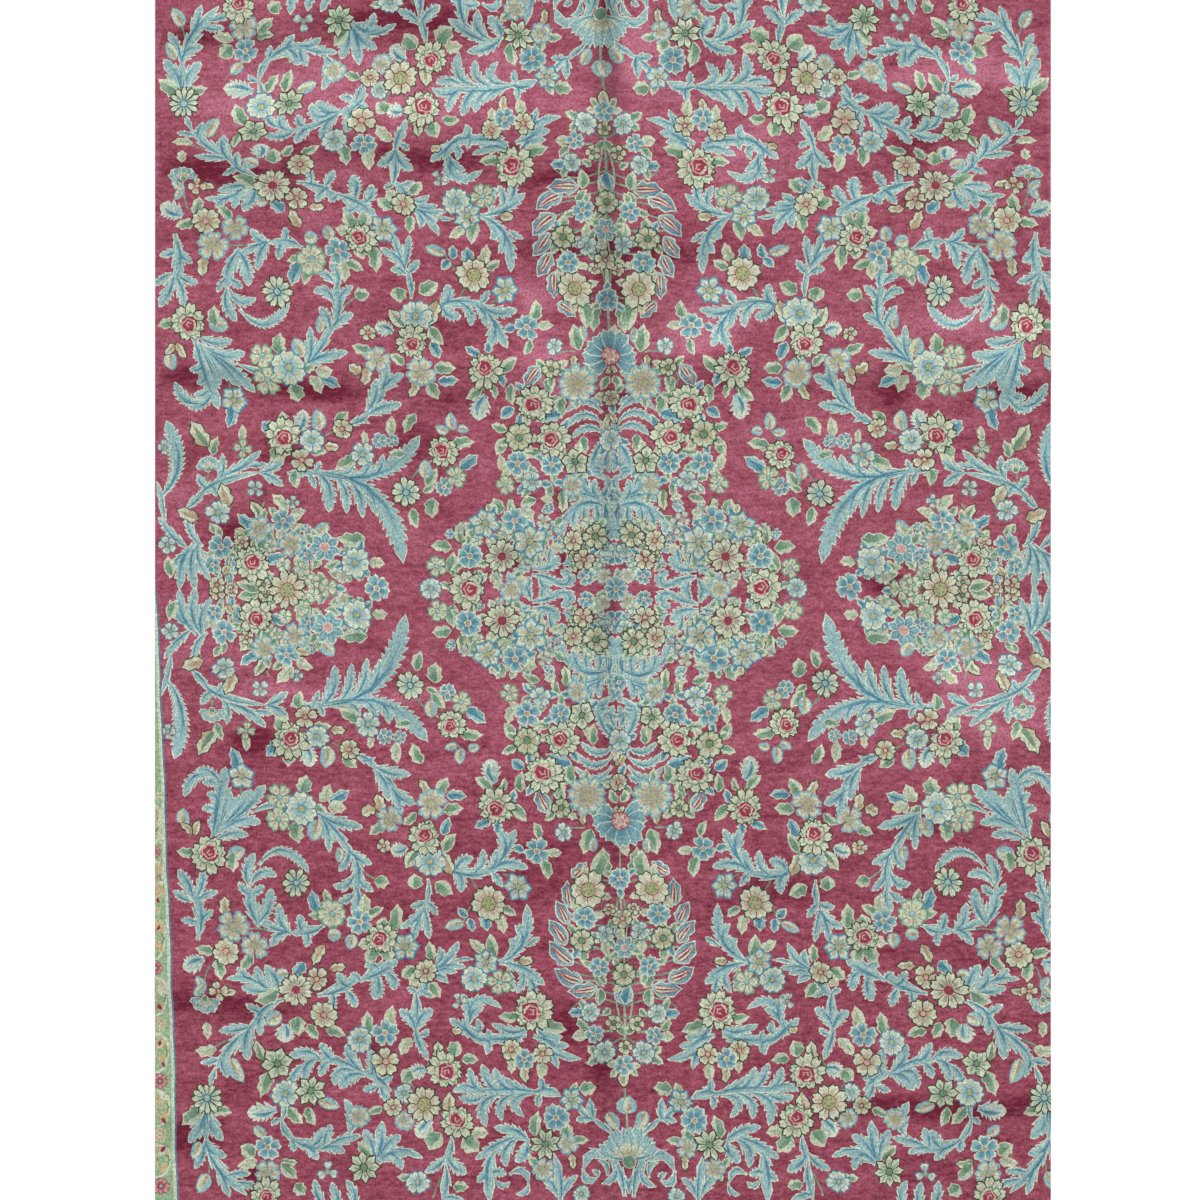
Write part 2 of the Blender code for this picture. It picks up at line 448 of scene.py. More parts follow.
LEAVES = """
look root_u root_v tip_u tip_v width
husk 52 43 65 42 5
leaf 87 52 82 76 7
leaf 66 46 80 50 6
leaf 82 44 82 26 7
leaf 12 14 24 10 5
leaf 44 26 38 16 4
cream 20 34 10 28 4
leaf 96 36 86 34 5
blue 90 38 96 28 5
leaf 118 44 122 56 5
leaf 140 20 132 10 5
blue 102 40 98 54 4
leaf 110 66 118 62 5
cream 122 76 126 88 5
leaf 150 14 162 8 5
autumn 8 60 22 66 6
leaf 30 60 42 58 4
husk 60 88 72 92 4
blue 92 88 84 80 4
leaf 100 12 92 20 4
husk 24 40 34 44 4
blue 0 30 8 24 5
leaf 79 52 61 50 5
cream 79 43 81 27 5
husk 70 45 72 29 4
leaf 160 14 160 39 6
leaf 162 42 183 43 7
leaf 107 47 107 64 7
leaf 124 54 125 41 6
leaf 141 45 145 63 7
autumn 153 45 151 69 6
blue 159 55 169 55 5
leaf 52 73 63 62 5
blue 60 85 73 79 5
husk 79 78 94 73 4
autumn 52 99 52 75 5
leaf 77 92 94 86 5
leaf 114 75 119 92 8
cream 100 78 103 93 4
leaf 62 107 64 90 5
blue 85 105 94 95 5
leaf 87 110 98 113 4
husk 106 119 112 137 5
leaf 108 151 115 135 6
leaf 26 155 24 135 6
leaf 69 137 89 137 4
leaf 201 81 195 61 5
leaf 182 91 181 71 8
leaf 191 98 179 104 4
leaf 187 103 174 119 3
bud 188 110 187 128 7
blue 153 119 133 134 5
leaf 159 142 136 147 6
leaf 206 134 223 137 4
husk 243 26 227 25 6
leaf 261 9 286 17 4
leaf 272 26 290 22 5
cream 300 20 290 30 5
leaf 340 10 350 18 6
blue 312 44 304 52 4
leaf 302 52 316 50 4
leaf 344 52 340 62 5
cream 378 60 366 52 5
leaf 380 44 374 34 4
leaf 406 30 400 18 6
cream 390 14 384 26 5
leaf 396 56 402 66 5
leaf 250 10 262 16 5
leaf 249 50 278 50 7
bud 296 55 284 68 7
leaf 312 9 312 39 6
leaf 298 10 317 15 5
blue 346 27 325 33 5
leaf 378 17 377 41 6
leaf 356 -1 378 7 6
leaf 300 45 309 59 4
cream 323 60 304 63 4
husk 321 75 305 79 4
husk 325 79 342 95 5
autumn 349 69 363 88 6
blue 357 65 376 76 5
leaf 356 37 337 63 4
husk 367 43 376 61 5
cream 382 82 391 105 8
cream 412 69 436 79 8
leaf 396 13 400 31 5
leaf 443 12 446 31 6
leaf 318 121 317 103 6
leaf 301 136 285 138 4
leaf 257 131 279 119 5
husk 247 145 248 159 4
cream 287 144 271 142 6
leaf 325 149 342 128 10
husk 371 147 370 163 4
autumn 403 140 420 168 7
leaf 400 132 394 151 4
leaf 50 195 49 171 6
blue 49 175 74 166 5
leaf 98 204 97 183 6
blue 95 181 108 171 6
leaf 103 159 118 165 5
leaf 60 213 59 193 6
paisley 71 224 84 201 8
cream 36 236 34 219 5
leaf 29 239 36 265 5
bud 27 263 25 247 5
leaf 13 286 16 257 8
leaf 25 290 21 260 9
paisley 50 286 33 271 8
paisley 52 317 54 289 8
paisley 55 335 67 311 8
paisley 57 355 74 331 8
paisley 51 375 74 351 9
paisley 43 394 70 378 9
paisley 27 400 58 402 7
leaf 118 203 113 189 4
leaf 127 201 143 189 5
frond 123 193 129 169 10
bud 152 158 140 158 5
bud 162 156 175 160 5
bud 157 159 158 177 6
blue 112 215 104 200 5
leaf 107 215 93 233 5
blue 122 234 122 247 5
blue 129 233 145 241 4
husk 73 262 57 263 5
leaf 80 249 86 233 5
leaf 76 269 73 289 6
blue 95 263 107 258 5
cream 171 287 179 261 7
leaf 177 263 164 245 6
blue 177 247 168 229 6
cream 192 241 188 227 6
autumn 199 261 217 283 7
frond 213 258 230 261 8
leaf 206 301 206 286 8
leaf 187 295 169 305 8
leaf 179 207 171 189 7
cream 191 207 201 189 5
blue 171 207 150 209 6
leaf 173 222 153 220 7
leaf 203 223 217 235 4
leaf 195 173 207 154 5
husk 221 153 219 173 5
leaf 275 165 260 178 6
bud 292 159 292 181 8
frond 315 157 307 179 9
leaf 329 159 329 179 7
blue 337 155 351 169 8
blue 380 182 386 159 5
bud 436 235 437 217 7
cream 428 247 421 229 5
cream 430 245 443 233 5
leaf 427 264 446 262 6
bud 393 267 375 260 8
leaf 388 263 388 283 7
cream 240 223 243 203 7
cream 245 217 259 227 7
leaf 235 238 253 245 6
blue 289 215 267 203 7
husk 297 213 288 195 7
husk 291 218 273 220 7
leaf 303 217 291 223 5
leaf 317 205 313 187 9
bud 302 231 308 251 8
leaf 324 233 323 255 8
bud 283 257 284 273 5
leaf 248 291 233 294 7
leaf 42 355 43 374 7
husk 18 349 17 367 4
leaf 27 385 20 399 6
leaf 24 399 26 419 6
leaf 37 423 44 409 4
blue 40 424 55 424 6
leaf 37 441 45 429 5
husk 37 447 51 448 6
leaf 14 421 23 428 4
cream 105 371 89 372 6
leaf 105 428 126 427 4
leaf 81 434 56 441 6
leaf 121 319 107 328 5
husk 126 325 119 345 6
blue 138 325 137 343 7
blue 154 329 152 344 5
blue 156 329 165 319 5
bud 160 334 179 342 5
leaf 128 367 134 345 6
husk 139 363 155 351 5
leaf 192 373 193 353 5
leaf 209 379 223 389 7
husk 205 387 215 397 7
leaf 193 395 181 409 6
leaf 228 341 226 315 6
cream 173 442 161 441 5
leaf 239 357 231 373 8
leaf 246 357 255 375 8
husk 247 353 265 357 7
leaf 244 341 240 327 7
husk 259 325 258 303 5
leaf 257 325 239 317 5
leaf 295 324 315 324 5
blue 300 323 310 299 6
leaf 291 315 298 299 5
bud 295 346 281 344 7
bud 272 345 272 361 7
cream 398 329 397 307 7
leaf 407 364 427 360 4
leaf 369 367 383 383 5
leaf 404 371 403 393 7
frond 417 371 441 382 10
cream 403 402 385 401 5
bud 420 401 427 387 5
bud 419 397 431 409 5
husk 420 433 419 451 5
cream 299 355 311 376 5
cream 293 378 273 379 4
blue 317 373 331 385 7
bud 335 384 349 386 7
bud 343 425 359 435 8
leaf 326 427 326 447 9
leaf 317 435 309 451 6
leaf 301 441 281 447 5
frond 340 435 342 454 10
leaf 345 401 369 413 5
husk 234 441 231 417 7
leaf 258 447 256 423 6
leaf 27 466 37 457 5
leaf 27 470 39 475 5
husk 7 478 19 478 4
cream 0 483 0 501 7
leaf 5 480 13 490 4
bud 0 526 3 509 8
husk 84 473 86 491 6
cream 99 477 99 495 6
husk 112 467 113 485 5
leaf 163 470 145 470 6
leaf 173 467 167 451 8
autumn 188 475 187 451 7
frond 199 481 217 487 8
leaf 215 483 227 493 8
husk 213 451 227 469 6
cream 176 531 176 502 7
frond 197 531 211 547 9
leaf 187 543 199 559 10
leaf 165 547 149 563 10
husk 157 544 139 544 7
leaf 47 500 29 500 8
leaf 54 509 50 493 5
leaf 62 551 60 535 7
bud 19 523 11 541 7
leaf 92 547 88 523 7
leaf 57 554 39 552 5
cream 58 565 56 583 5
leaf 89 579 101 567 5
cream 87 583 93 593 4
leaf 173 596 157 598 6
leaf 213 590 231 588 4
autumn 363 471 370 449 6
bud 395 469 382 493 8
leaf 357 481 367 507 7
bud 307 513 287 520 6
leaf 319 517 312 537 6
leaf 337 517 323 535 6
frond 349 519 379 523 10
leaf 245 519 261 525 5
bud 361 547 373 537 6
leaf 371 567 385 557 8
husk 371 572 391 576 4
autumn 347 572 327 573 4
leaf 345 575 329 591 7
leaf 255 571 269 555 6
leaf 415 520 395 524 5
leaf 423 517 445 535 6
bud 427 551 435 569 6
bud 419 585 431 603 7
husk 409 460 431 462 6
leaf 331 595 321 607 8
blue 0 415 6 396 7
leaf 0 448 10 436 5
leaf 2 212 10 198 5
cream 0 224 6 214 4
cream 0 176 6 164 5
"""

FLOWERS = """
look u v radius petals turn
blue 0 0 13 8 0
tan 4 0 7 5 0
blue 29 11 9 5 10
cream 30 29 11 5 20
green 19 20 7 5 0
olive 40 33 6 5 0
white 9 38 9 5 90
blue 13 27 6 4 0
olive 18 52 13 7 0
white 62 62 8 4 20
tan 70 70 8 4 60
blue 56 52 7 4 0
blue 66 84 6 4 30
green 25 64 8 5 0
tan 116 12 6 5 0
green 90 31 7 5 0
blue 135 15 6 4 0
green 136 50 7 5 0
tan 152 62 6 4 0
blue 164 56 5 4 0
green 110 55 9 5 0
tan 90 80 6 4 0
cream 40 48 11 6 10
lily 85 47 18 6 30
peony 112 32 18 8 0
tan 103 0 12 6 0
blue 146 34 14 6 15
green 177 22 11 5 0
white 182 0 12 6 0
lily 128 65 16 6 15
blue 100 69 14 5 30
tan 40 103 12 5 10
white 78 108 11 5 54
green 107 105 10 5 0
blue 58 125 12 6 20
blue 93 126 13 5 54
star 35 127 14 5 18
olive 92 154 15 6 0
rose 56 151 18 8 0
rose 148 0 20 8 0
blue 3 93 9 6 0
tan 12 12 8 5 0
daisy 208 95 15 9 0
blue 170 101 9 5 20
green 157 112 11 5 40
rose 167 135 16 8 0
blue 235 0 13 5 0
white 258 27 15 6 12
tan 270 12 8 5 0
blue 306 34 9 5 0
green 312 20 9 5 0
blue 306 60 6 4 0
tan 340 44 7 5 0
olive 350 6 8 5 0
green 346 40 7 4 0
blue 376 26 8 5 0
cream 370 48 8 5 0
blue 402 24 9 5 0
cream 398 4 9 5 0
tan 268 40 6 4 0
green 330 26 8 5 0
green 286 0 11 5 0
green 301 6 8 5 0
sun 327 0 19 9 0
cream 382 -2 7 4 0
dark 288 40 17 7 0
rose 361 27 18 8 0
tan 321 46 13 5 0
tan 352 60 13 5 36
blue 330 68 12 5 18
blue 393 43 13 5 0
white 393 77 12 5 0
white 357 101 9 4 45
white 321 88 7 4 0
white 445 42 9 5 0
cream 311 130 12 5 54
white 250 135 13 5 54
blue 233 148 8 5 0
blue 218 148 7 5 0
white 300 149 12 6 0
green 370 140 10 4 0
bell 404 119 13 4 90
white 447 142 8 4 0
rose 328 155 18 9 0
cream 268 160 11 6 0
white 0 150 12 6 0
rose 75 187 19 9 10
tan 33 207 20 9 0
cream 0 191 10 6 0
olive 58 220 11 5 0
white 55 243 9 5 0
palmette 0 232 27 9 90
sun 33 300 18 6 0
blue 0 290 12 6 0
rose 124 218 19 10 0
blue 83 262 13 5 18
lily 103 299 14 6 0
sun 134 314 18 7 10
white 192 273 16 6 0
rose 195 248 18 9 0
tan 187 215 16 5 54
tan 228 230 14 5 30
lily 377 188 14 5 54
white 318 220 17 6 30
green 340 207 14 5 20
green 342 232 14 5 50
cream 237 257 8 5 0
rose 413 266 19 8 20
daisy 325 295 15.5 10 0
blue 37 326 12 6 0
white 18 345 10 5 0
olive 42 351 13 6 0
cream 0 330 11 5 90
dark 0 358 12 6 0
olive 0 386 13 6 0
blue 25 378 11 5 0
white 33 425 10 6 0
blue 30 447 9 5 0
olive 12 436 8 5 0
cream 12 320 7 5 0
rose 90 421 21 9 0
lily 137 373 14 6 30
green 122 392 13 5 0
white 149 390 14 6 0
cream 198 383 12 6 15
white 164 412 8 3 60
lily 218 358 15 6 0
rose 240 348 17 9 0
blue 263 333 13 5 0
green 290 325 15 6 0
tan 387 340 16 5 20
tan 367 358 14 5 54
cream 395 364 15 6 15
cream 405 402 10 4 0
bell 420 410 15 4 90
peony 327 401 19 9 0
cream 305 388 13 5 10
cream 300 425 14 6 0
blue 238 446 13 5 54
white 266 452 14 6 0
green 230 345 7 5 0
white 20 465 12 6 0
blue 0 477 11 5 90
olive 0 461 8 5 0
cream 82 465 11 5 54
blue 100 470 12 5 54
cream 113 460 11 6 0
rose 182 482 19 9 0
sun 203 514 18 8 22
rose 171 535 18 9 0
white 225 505 10 6 0
tan 223 530 10 6 0
lily 55 513 13 6 0
blue 70 530 14 6 0
star 83 555 16 8 22
tan 60 557 11 5 0
tan 85 580 12 5 0
white 47 606 9 6 0
white 210 592 12 6 0
cream 240 474 15 5 54
star 315 503 16 7 0
star 350 473 16 6 15
white 342 503 15 6 30
cream 235 518 10 6 0
tan 269 530 12 6 0
star 262 580 17 8 0
blue 358 560 13 5 54
tan 360 585 14 5 18
daisy 418 509 16.5 12 0
rose 363 605 17 8 0
white 298 583 11 3 270
bell 0 574 34 7 270
"""

STEMS = """
from_u from_v bend_u bend_v to_u to_v
0 246 1 330 0 410
0 400 -1 460 0 520
2 300 10 292 22 290
0 322 12 318 28 322
0 338 20 338 46 330
0 352 20 356 50 346
2 372 16 362 34 356
2 384 20 384 42 370
0 398 18 392 42 392
0 408 14 404 28 402
0 418 10 414 22 410
0 430 14 426 28 428
0 444 12 440 26 446
0 452 8 450 16 462
0 494 0 510 0 545
12 468 22 472 40 474
204 106 196 120 178 128
188 104 190 110 188 120
176 120 170 126 168 134
300 20 306 24 316 34
330 76 334 84 336 92
356 70 352 78 348 88
404 104 404 110 404 116
186 104 180 110 176 120
167 150 160 156 158 164
272 160 280 157 286 154
292 150 294 158 292 164
378 200 378 216 386 234
432 248 430 242 429 236
262 276 256 284 246 290
150 290 147 298 141 304
118 286 110 288 106 294
0 302 8 320 2 352
4 390 12 410 2 440
350 341 364 338 378 341
412 376 420 388 420 412
396 450 406 454 414 460
341 514 343 522 345 532
372 574 378 570 384 566
416 572 418 580 421 590
186 586 190 596 194 608
46 448 30 440 12 444
52 420 40 408 24 410
16 360 40 358 60 360
28 388 44 388 52 382
30 378 44 376 56 370
320 76 321 82 322 90
384 80 380 86 384 96
420 58 416 66 414 72
200 480 196 470 188 462
214 500 218 492 222 488
152 318 156 326 160 334
60 236 44 240 34 238
66 204 72 214 62 222
126 196 124 204 124 212
"""

# How a petal, leaf or flower of each look is dyed: its outline, the band inside it, its body at the root
# and the tip, its core, its heart.
LOOKS = {look.name: look for look in chart("""
name rim band root tip core heart
blue pale blue deep azure deep tan
dark pale azure deep azure blue pink
white deep pale azure cream blue gold
tan azure blue tan cream tan gold
lily deep blue green pale tan gold
bud azure blue cream cream tan gold
green moss green cream cream tan blue
cream olive cream tan cream tan pink
star olive cream green cream moss moss
daisy olive cream azure cream green blue
olive olive green gold cream tan moss
peony olive cream pink cream moss crimson
sun olive cream pink cream tan gold
rose olive cream green cream tan crimson
palmette pale azure deep azure deep pink
bell pale azure deep blue pale moss
leaf cream green green cream moss moss
husk cream cream tan cream green tan
autumn olive cream tan cream moss tan
paisley pale blue deep blue pink pink
frond pale blue blue pale deep deep
crimson crimson pink crimson pink crimson blue
straw cream straw straw straw tan blue
""")}
POINTED = ("lily", "star", "dark")
HEARTS = {"sun": 0.36, "rose": 0.44, "peony": 0.20, "olive": 0.24, "dark": 0.26, "palmette": 0.15}
OTHER_HEARTS = 0.19  # a heart's share of its flower's radius
FAN_SPREAD = {"bell": 130.0, "palmette": 250.0}

# The guard stripe at the near left. across counts squares from the rug's left side, down from its middle.
GUARD_EDGE = """
across down
0 -40
4 30
8 120
14.5 300
19.5 420
23.3 600
24.0 640
"""

GUARD_FLOWERS = """
look across down radius petals turn
crimson -1 252 7 8 0
crimson 1 368 7.5 8 0
crimson 5 481 8 8 0
crimson 6 586 9 8 0
straw 4 424 7.5 7 0
straw 5 535 7.5 7 0
straw 3 196 4 6 0
straw 1 310 5 6 0
"""

GUARD_LEAVES = """
look root_across root_down tip_across tip_down width
straw 1 276 6 264 2.5
straw 2 284 8 296 2.5
straw 1 302 3 290 2.5
straw 2 320 7 334 2.5
straw 6 352 3 340 2.5
straw 2 386 9 396 3
straw 8 402 3 412 3
straw 4 438 9 450 3
straw 10 454 4 464 3
straw 3 498 9 506 3
straw 11 510 5 524 3
straw 3 546 10 556 3
straw 11 562 6 574 3
straw 4 600 12 608 3
cream 9 284 3 282 2
cream 9 396 4 384 2
cream 3 448 8 440 2
cream 11 500 5 490 2
cream 4 556 10 548 2
cream 3 228 7 216 2
cream 8 244 6 232 2
crimson 2 298 5 303 1.2
crimson 2 330 5 325 1.2
crimson 3 404 7 410 1.2
crimson 4 446 6 440 1.2
crimson 7 518 11 524 1.2
crimson 6 552 11 546 1.2
crimson 7 462 9 468 1.2
"""

# Patches of painted shade and painted sheen, standing in for the nap's sheen and the folds' shade: the ground
# is painted darker (below 0) or brighter. In metres, from the rug's middle.
NAP_SHADE_PATCHES = """
x y half_x half_y shade
-0.41 1.254 0.22 0.036 -1.0
-0.88 1.224 0.09 0.022 -0.6
0.01 1.24 0.02 0.08 -0.9
-0.83 0.923 0.13 0.032 -1.0
-0.366 0.962 0.20 0.026 -0.9
-0.096 0.908 0.12 0.026 -0.8
-0.667 0.953 0.03 0.05 -0.7
0.05 0.758 0.22 0.028 -1.0
0.07 0.75 0.07 0.04 -0.6
0.025 0.65 0.06 0.04 -0.8
-0.85 0.481 0.14 0.024 -1.0
-0.62 0.448 0.11 0.024 -1.0
-0.33 0.427 0.10 0.03 -0.4
0.626 0.472 0.04 0.05 -0.8
0.89 0.442 0.10 0.025 -0.8
0.025 0.427 0.04 0.03 -0.7
0.235 0.472 0.04 0.03 -0.4
-0.697 0.322 0.05 0.025 -0.8
-0.88 0.31 0.05 0.03 -0.4
-0.411 0.331 0.06 0.04 -0.8
-0.787 0.141 0.07 0.05 -1.1
-0.186 0.087 0.035 0.03 -1.0
-0.066 0.072 0.035 0.03 -0.8
0.214 0.09 0.035 0.035 -0.9
0.04 0.18 0.04 0.03 -0.5
0.01 -0.04 0.025 0.05 -0.8
0.22 -0.054 0.04 0.04 -0.6
0.617 0.04 0.045 0.045 -0.9
-0.757 -0.31 0.06 0.03 -1.1
0.68 -0.496 0.05 0.025 -0.7
0.385 -0.625 0.12 0.03 -0.4
0.04 -0.722 0.04 0.03 -0.7
-0.83 -0.88 0.16 0.022 -0.9
-0.072 -0.932 0.05 0.035 -1.0
-0.487 -0.97 0.03 0.03 -0.5
-0.005 -1.00 0.03 0.06 -0.6
-0.908 -1.15 0.08 0.04 -0.8
-0.757 -1.257 0.03 0.03 -0.8
0.73 -1.10 0.28 0.024 -0.8
0.686 0.98 0.06 0.10 -0.5
0.897 0.90 0.02 0.22 -0.3
-0.366 0.592 0.14 0.04 -0.4
-0.10 -0.55 0.14 0.12 -0.2
-0.50 1.10 0.46 0.08 0.7
0.085 1.21 0.05 0.09 1.2
0.80 1.143 0.20 0.035 1.1
0.295 1.02 0.18 0.10 0.6
0.80 0.91 0.12 0.05 0.5
-0.156 0.667 0.05 0.05 0.5
0.22 0.592 0.09 0.06 0.9
-0.126 0.53 0.06 0.06 0.7
0.836 -0.205 0.14 0.09 1.0
-0.60 -0.205 0.32 0.018 0.7
-0.577 0.006 0.05 0.05 0.4
-0.908 0.23 0.06 0.04 0.5
0.476 0.307 0.16 0.10 0.3
0.806 0.592 0.14 0.05 0.6
0.476 0.607 0.10 0.06 0.3
-0.366 -1.12 0.10 0.05 0.2
"""


# ---------------------------------------------------------------- flat shapes, in chart squares

Shape = namedtuple("Shape", "layer points root start reach first second")
STEM, PLUME_RIM, PLUME_BODY, PLUME_STREAK, LEAF, FLOWER = range(6)
LINE = 1.2  # width of the line round a petal or leaf
OUTLINE = -1.0  # the start of a shape that is one flat colour behind the next one
TINY = 1.0e-6


def plain(layer, points, root, wool, start=0.0):
    """A shape of one wool."""
    return Shape(layer, points, root, start, 1.0, wool, wool)


def shaded(layer, points, root, size, turns, first, second):
    """A shape whose wool turns from first to second between two shares of its size away from its root."""
    return Shape(layer, points, root, turns[0] * size, turns[1] * size, first, second)


def ribbon(places, across, near, far):
    """Outline between two lines beside the places: the far one, then the near one backwards."""
    return np.concatenate([places + far * across, (places + near * across)[::-1]])


def turn_points(points, degrees):
    """Points turned about the zero point."""
    cosine = math.cos(math.radians(degrees))
    sine = math.sin(math.radians(degrees))
    return points @ np.array([[cosine, sine], [-sine, cosine]])


def bend_line(base, bend, tip, steps):
    """Points and side directions of a curve from base to tip, drawn towards bend. At t, the three have
    shares of (1-t)^2, t^2 and 2t(1-t)."""
    t = steps[:, None]
    places = (1 - t) ** 2 * base + 2 * t * (1 - t) * bend + t ** 2 * tip
    ahead = (1 - t) * (bend - base) + t * (tip - bend)
    ahead = ahead / np.maximum(np.linalg.norm(ahead, axis=1, keepdims=True), TINY)
    return places, np.stack([-ahead[:, 1], ahead[:, 0]], axis=1)


# Plumes. A share is of the plume's length where it says along, and of its half width where it says wide.
NECK_WIDE = 0.38
FULLEST_ALONG = 0.44
FULLER_A_TOOTH = 0.02  # how much further along the fullest place is for each tooth
BLUNTNESS = 2.8
LONG_PLUME = 10  # from so many teeth on, both sides have all the teeth and the neck is slimmer
LONG_NECK = 1.5
TEETH_A_CHARTED = 1.3
SMOOTH_STATIONS = 6
FIRST_TOOTH_ALONG = 0.10
LAST_TOOTH_ALONG = 0.93
TOOTH_STEPS = (0.0, 0.55, 1.10)  # notch, back and tip of a forward-pointing tooth
TOOTH_WIDE = (0.66, 0.98, 1.18)
TIP_PULL = 1.5  # a line inset from an edge ends so many insets before the tip
MOST_TIP_PULL = 0.3
PLUME_KEEPS = 0.30  # the least share of its width that an inset leaves
STREAK = columns("""
along wide
0.06 0.10
0.22 0.30
0.42 0.42
0.62 0.36
0.82 0.10
""")
StreakSides = namedtuple("StreakSides", "near far swell")
DEEP_STREAK = StreakSides(0.10, 0.12, 1.0)
PALE_STREAK = StreakSides(-0.30, -0.34, -0.4)
DEEP_TURNS = (0.35, 1.05)
WHOLE = (0.0, 1.0)
BROAD_PLUME = 5.0  # from this half width on, a pale streak runs along the inner side too
STEM_HALF = 0.85
STEM_STATIONS = 6
STEM_TURN = 40.0  # how far out a stem's wool has turned


def plume_width(t, teeth):
    """Share of the full half width along a plume: a narrow neck, fullest past the middle (the further out the
    more teeth it has), then round to a point."""
    full = FULLEST_ALONG + FULLER_A_TOOTH * teeth
    neck = LONG_NECK if teeth >= LONG_PLUME else 1.0
    grows = NECK_WIDE + (1.0 - NECK_WIDE) * np.sin(0.5 * np.pi * np.clip(t / full, 0.0, 1.0)) ** neck
    tapers = 1.0 - np.clip((t - full) / (1.0 - full), 0.0, 1.0) ** BLUNTNESS
    return grows * tapers


def plume_side(teeth, reach):
    """Stations and width shares down one side of a plume: three to a tooth, or a few smooth ones."""
    if not teeth:
        return np.linspace(0.0, reach, SMOOTH_STATIONS + 1)[:-1], np.ones(SMOOTH_STATIONS)
    step = (LAST_TOOTH_ALONG * reach - FIRST_TOOTH_ALONG) / teeth
    tooth = FIRST_TOOTH_ALONG + step * np.arange(teeth)
    stations = np.stack([tooth + part * step for part in TOOTH_STEPS], axis=1).ravel()
    return np.concatenate([[0.0], stations]), np.concatenate([[1.0], np.tile(TOOTH_WIDE, teeth)])


def plume_outline(base, bend, tip, half, teeth, inner_teeth, inset):
    """Outline of a plume whose line is inset from its edge by so many squares."""
    span = np.linalg.norm(bend - base) + np.linalg.norm(tip - bend)
    reach = 1.0 - min(MOST_TIP_PULL, TIP_PULL * inset / span)
    sides = []
    for sign, count in ((1.0, teeth), (-1.0, inner_teeth)):
        stations, shares = plume_side(count, reach)
        places, across = bend_line(base, bend, tip, stations)
        width = half * plume_width(stations, max(teeth, inner_teeth)) * shares
        width = np.maximum(width - inset, PLUME_KEEPS * width)
        sides.append(places + sign * width[:, None] * across)
    end, _ = bend_line(base, bend, tip, np.array([reach]))
    return np.concatenate([sides[0], end, sides[1][::-1]])


def plume(base, bend, tip, half, teeth, look=("pale", "blue", "blue", "deep")):
    """A curved serrated leaf: a pale rim, a blue body, and a deep streak that runs along its outer side."""
    rim, body, light, deep = look
    crossed = (bend[0] - base[0]) * (tip[1] - base[1]) - (bend[1] - base[1]) * (tip[0] - base[0])
    outer = -1.0 if crossed > 0 else 1.0
    teeth = 2 + round(TEETH_A_CHARTED * teeth)
    inner = teeth if teeth >= LONG_PLUME else (teeth + 1) // 2
    left, right = (teeth, inner) if outer > 0 else (inner, teeth)
    span = float(np.linalg.norm(tip - base))
    places, across = bend_line(base, bend, tip, STREAK.along)
    wide = outer * half * plume_width(STREAK.along, teeth)[:, None]

    def streak(sides):
        far = (sides.far + sides.swell * STREAK.wide[:, None]) * wide
        return ribbon(places, across, sides.near * wide, far)

    edge, inner_edge = (plume_outline(base, bend, tip, half, left, right, inset) for inset in (0.0, LINE))
    shapes = [
        plain(PLUME_RIM, edge, base, rim, OUTLINE),
        shaded(PLUME_BODY, inner_edge, base, span, WHOLE, body, light),
        shaded(PLUME_STREAK, streak(DEEP_STREAK), base, span, DEEP_TURNS, deep, body),
    ]
    if half > BROAD_PLUME:
        shapes.append(shaded(PLUME_STREAK, streak(PALE_STREAK)[1:-1], base, span, WHOLE, rim, body))
    return shapes


def stem(base, bend, tip, half=STEM_HALF):
    """A thin line that turns from moss to green."""
    places, across = bend_line(base, bend, tip, np.linspace(0.0, 1.0, STEM_STATIONS))
    return [shaded(STEM, ribbon(places, across, -half, half), base, STEM_TURN, WHOLE, "moss", "green")]


# Leaves and buds: stations along them, and shares of the half width there.
PROFILE = columns("""
along leaf lobes bud vein
0.00 0.16 1.00 0.30 0.10
0.14 0.66 1.04 0.80 0.26
0.30 0.96 1.10 0.98 0.32
0.44 1.00 0.78 1.00 0.28
0.54 0.96 0.92 0.98 0.24
0.70 0.78 1.14 0.84 0.16
0.82 0.52 0.80 0.62 0.08
1.00 0.00 1.00 0.00 0.00
""")
ROOT_PULL = 0.5  # a line inset from the edge starts so many insets after the root
LEAF_KEEPS = 0.25  # the least share of its width that an inset leaves
BOW = 0.09  # the most that a leaf bends sideways, as a share of its length
FROND_TEETH = 3
SLIMMEST = 0.27  # the least half width, as a share of the length
LOBED_FROM = 3.0  # the half width from which a leaf may have lobes
LOBED_SHARE = 0.7  # how many of their sides have them
CORE_ALONG = 0.94
BUD_VEIN = 0.7
BODY_TURNS = (0.1, 0.9)
HALF_TURNS = (0.2, 1.1)
VEIN_TURNS = (0.4, 1.0)
OVAL_TURNS = (0.3, 1.0)
PAISLEY_OVALS = ((1.5, "crimson", "crimson"), (1.1, "cream", "pink"), (0.35, "crimson", "crimson"))


def leaf_side(root, tip, half, widths, bow, sign, inset):
    """One side of a leaf from root to tip. bow bends it sideways by so many squares in the middle."""
    along = tip - root
    span = np.linalg.norm(along)
    across = np.array([-along[1], along[0]]) / span
    stations = np.clip(PROFILE.along, ROOT_PULL * inset / span, 1.0 - TIP_PULL * inset / span)
    side = sign * np.maximum(half * widths - inset, LEAF_KEEPS * half * widths)
    side = side + bow * np.sin(np.pi * stations)
    return root + stations[:, None] * along + side[:, None] * across


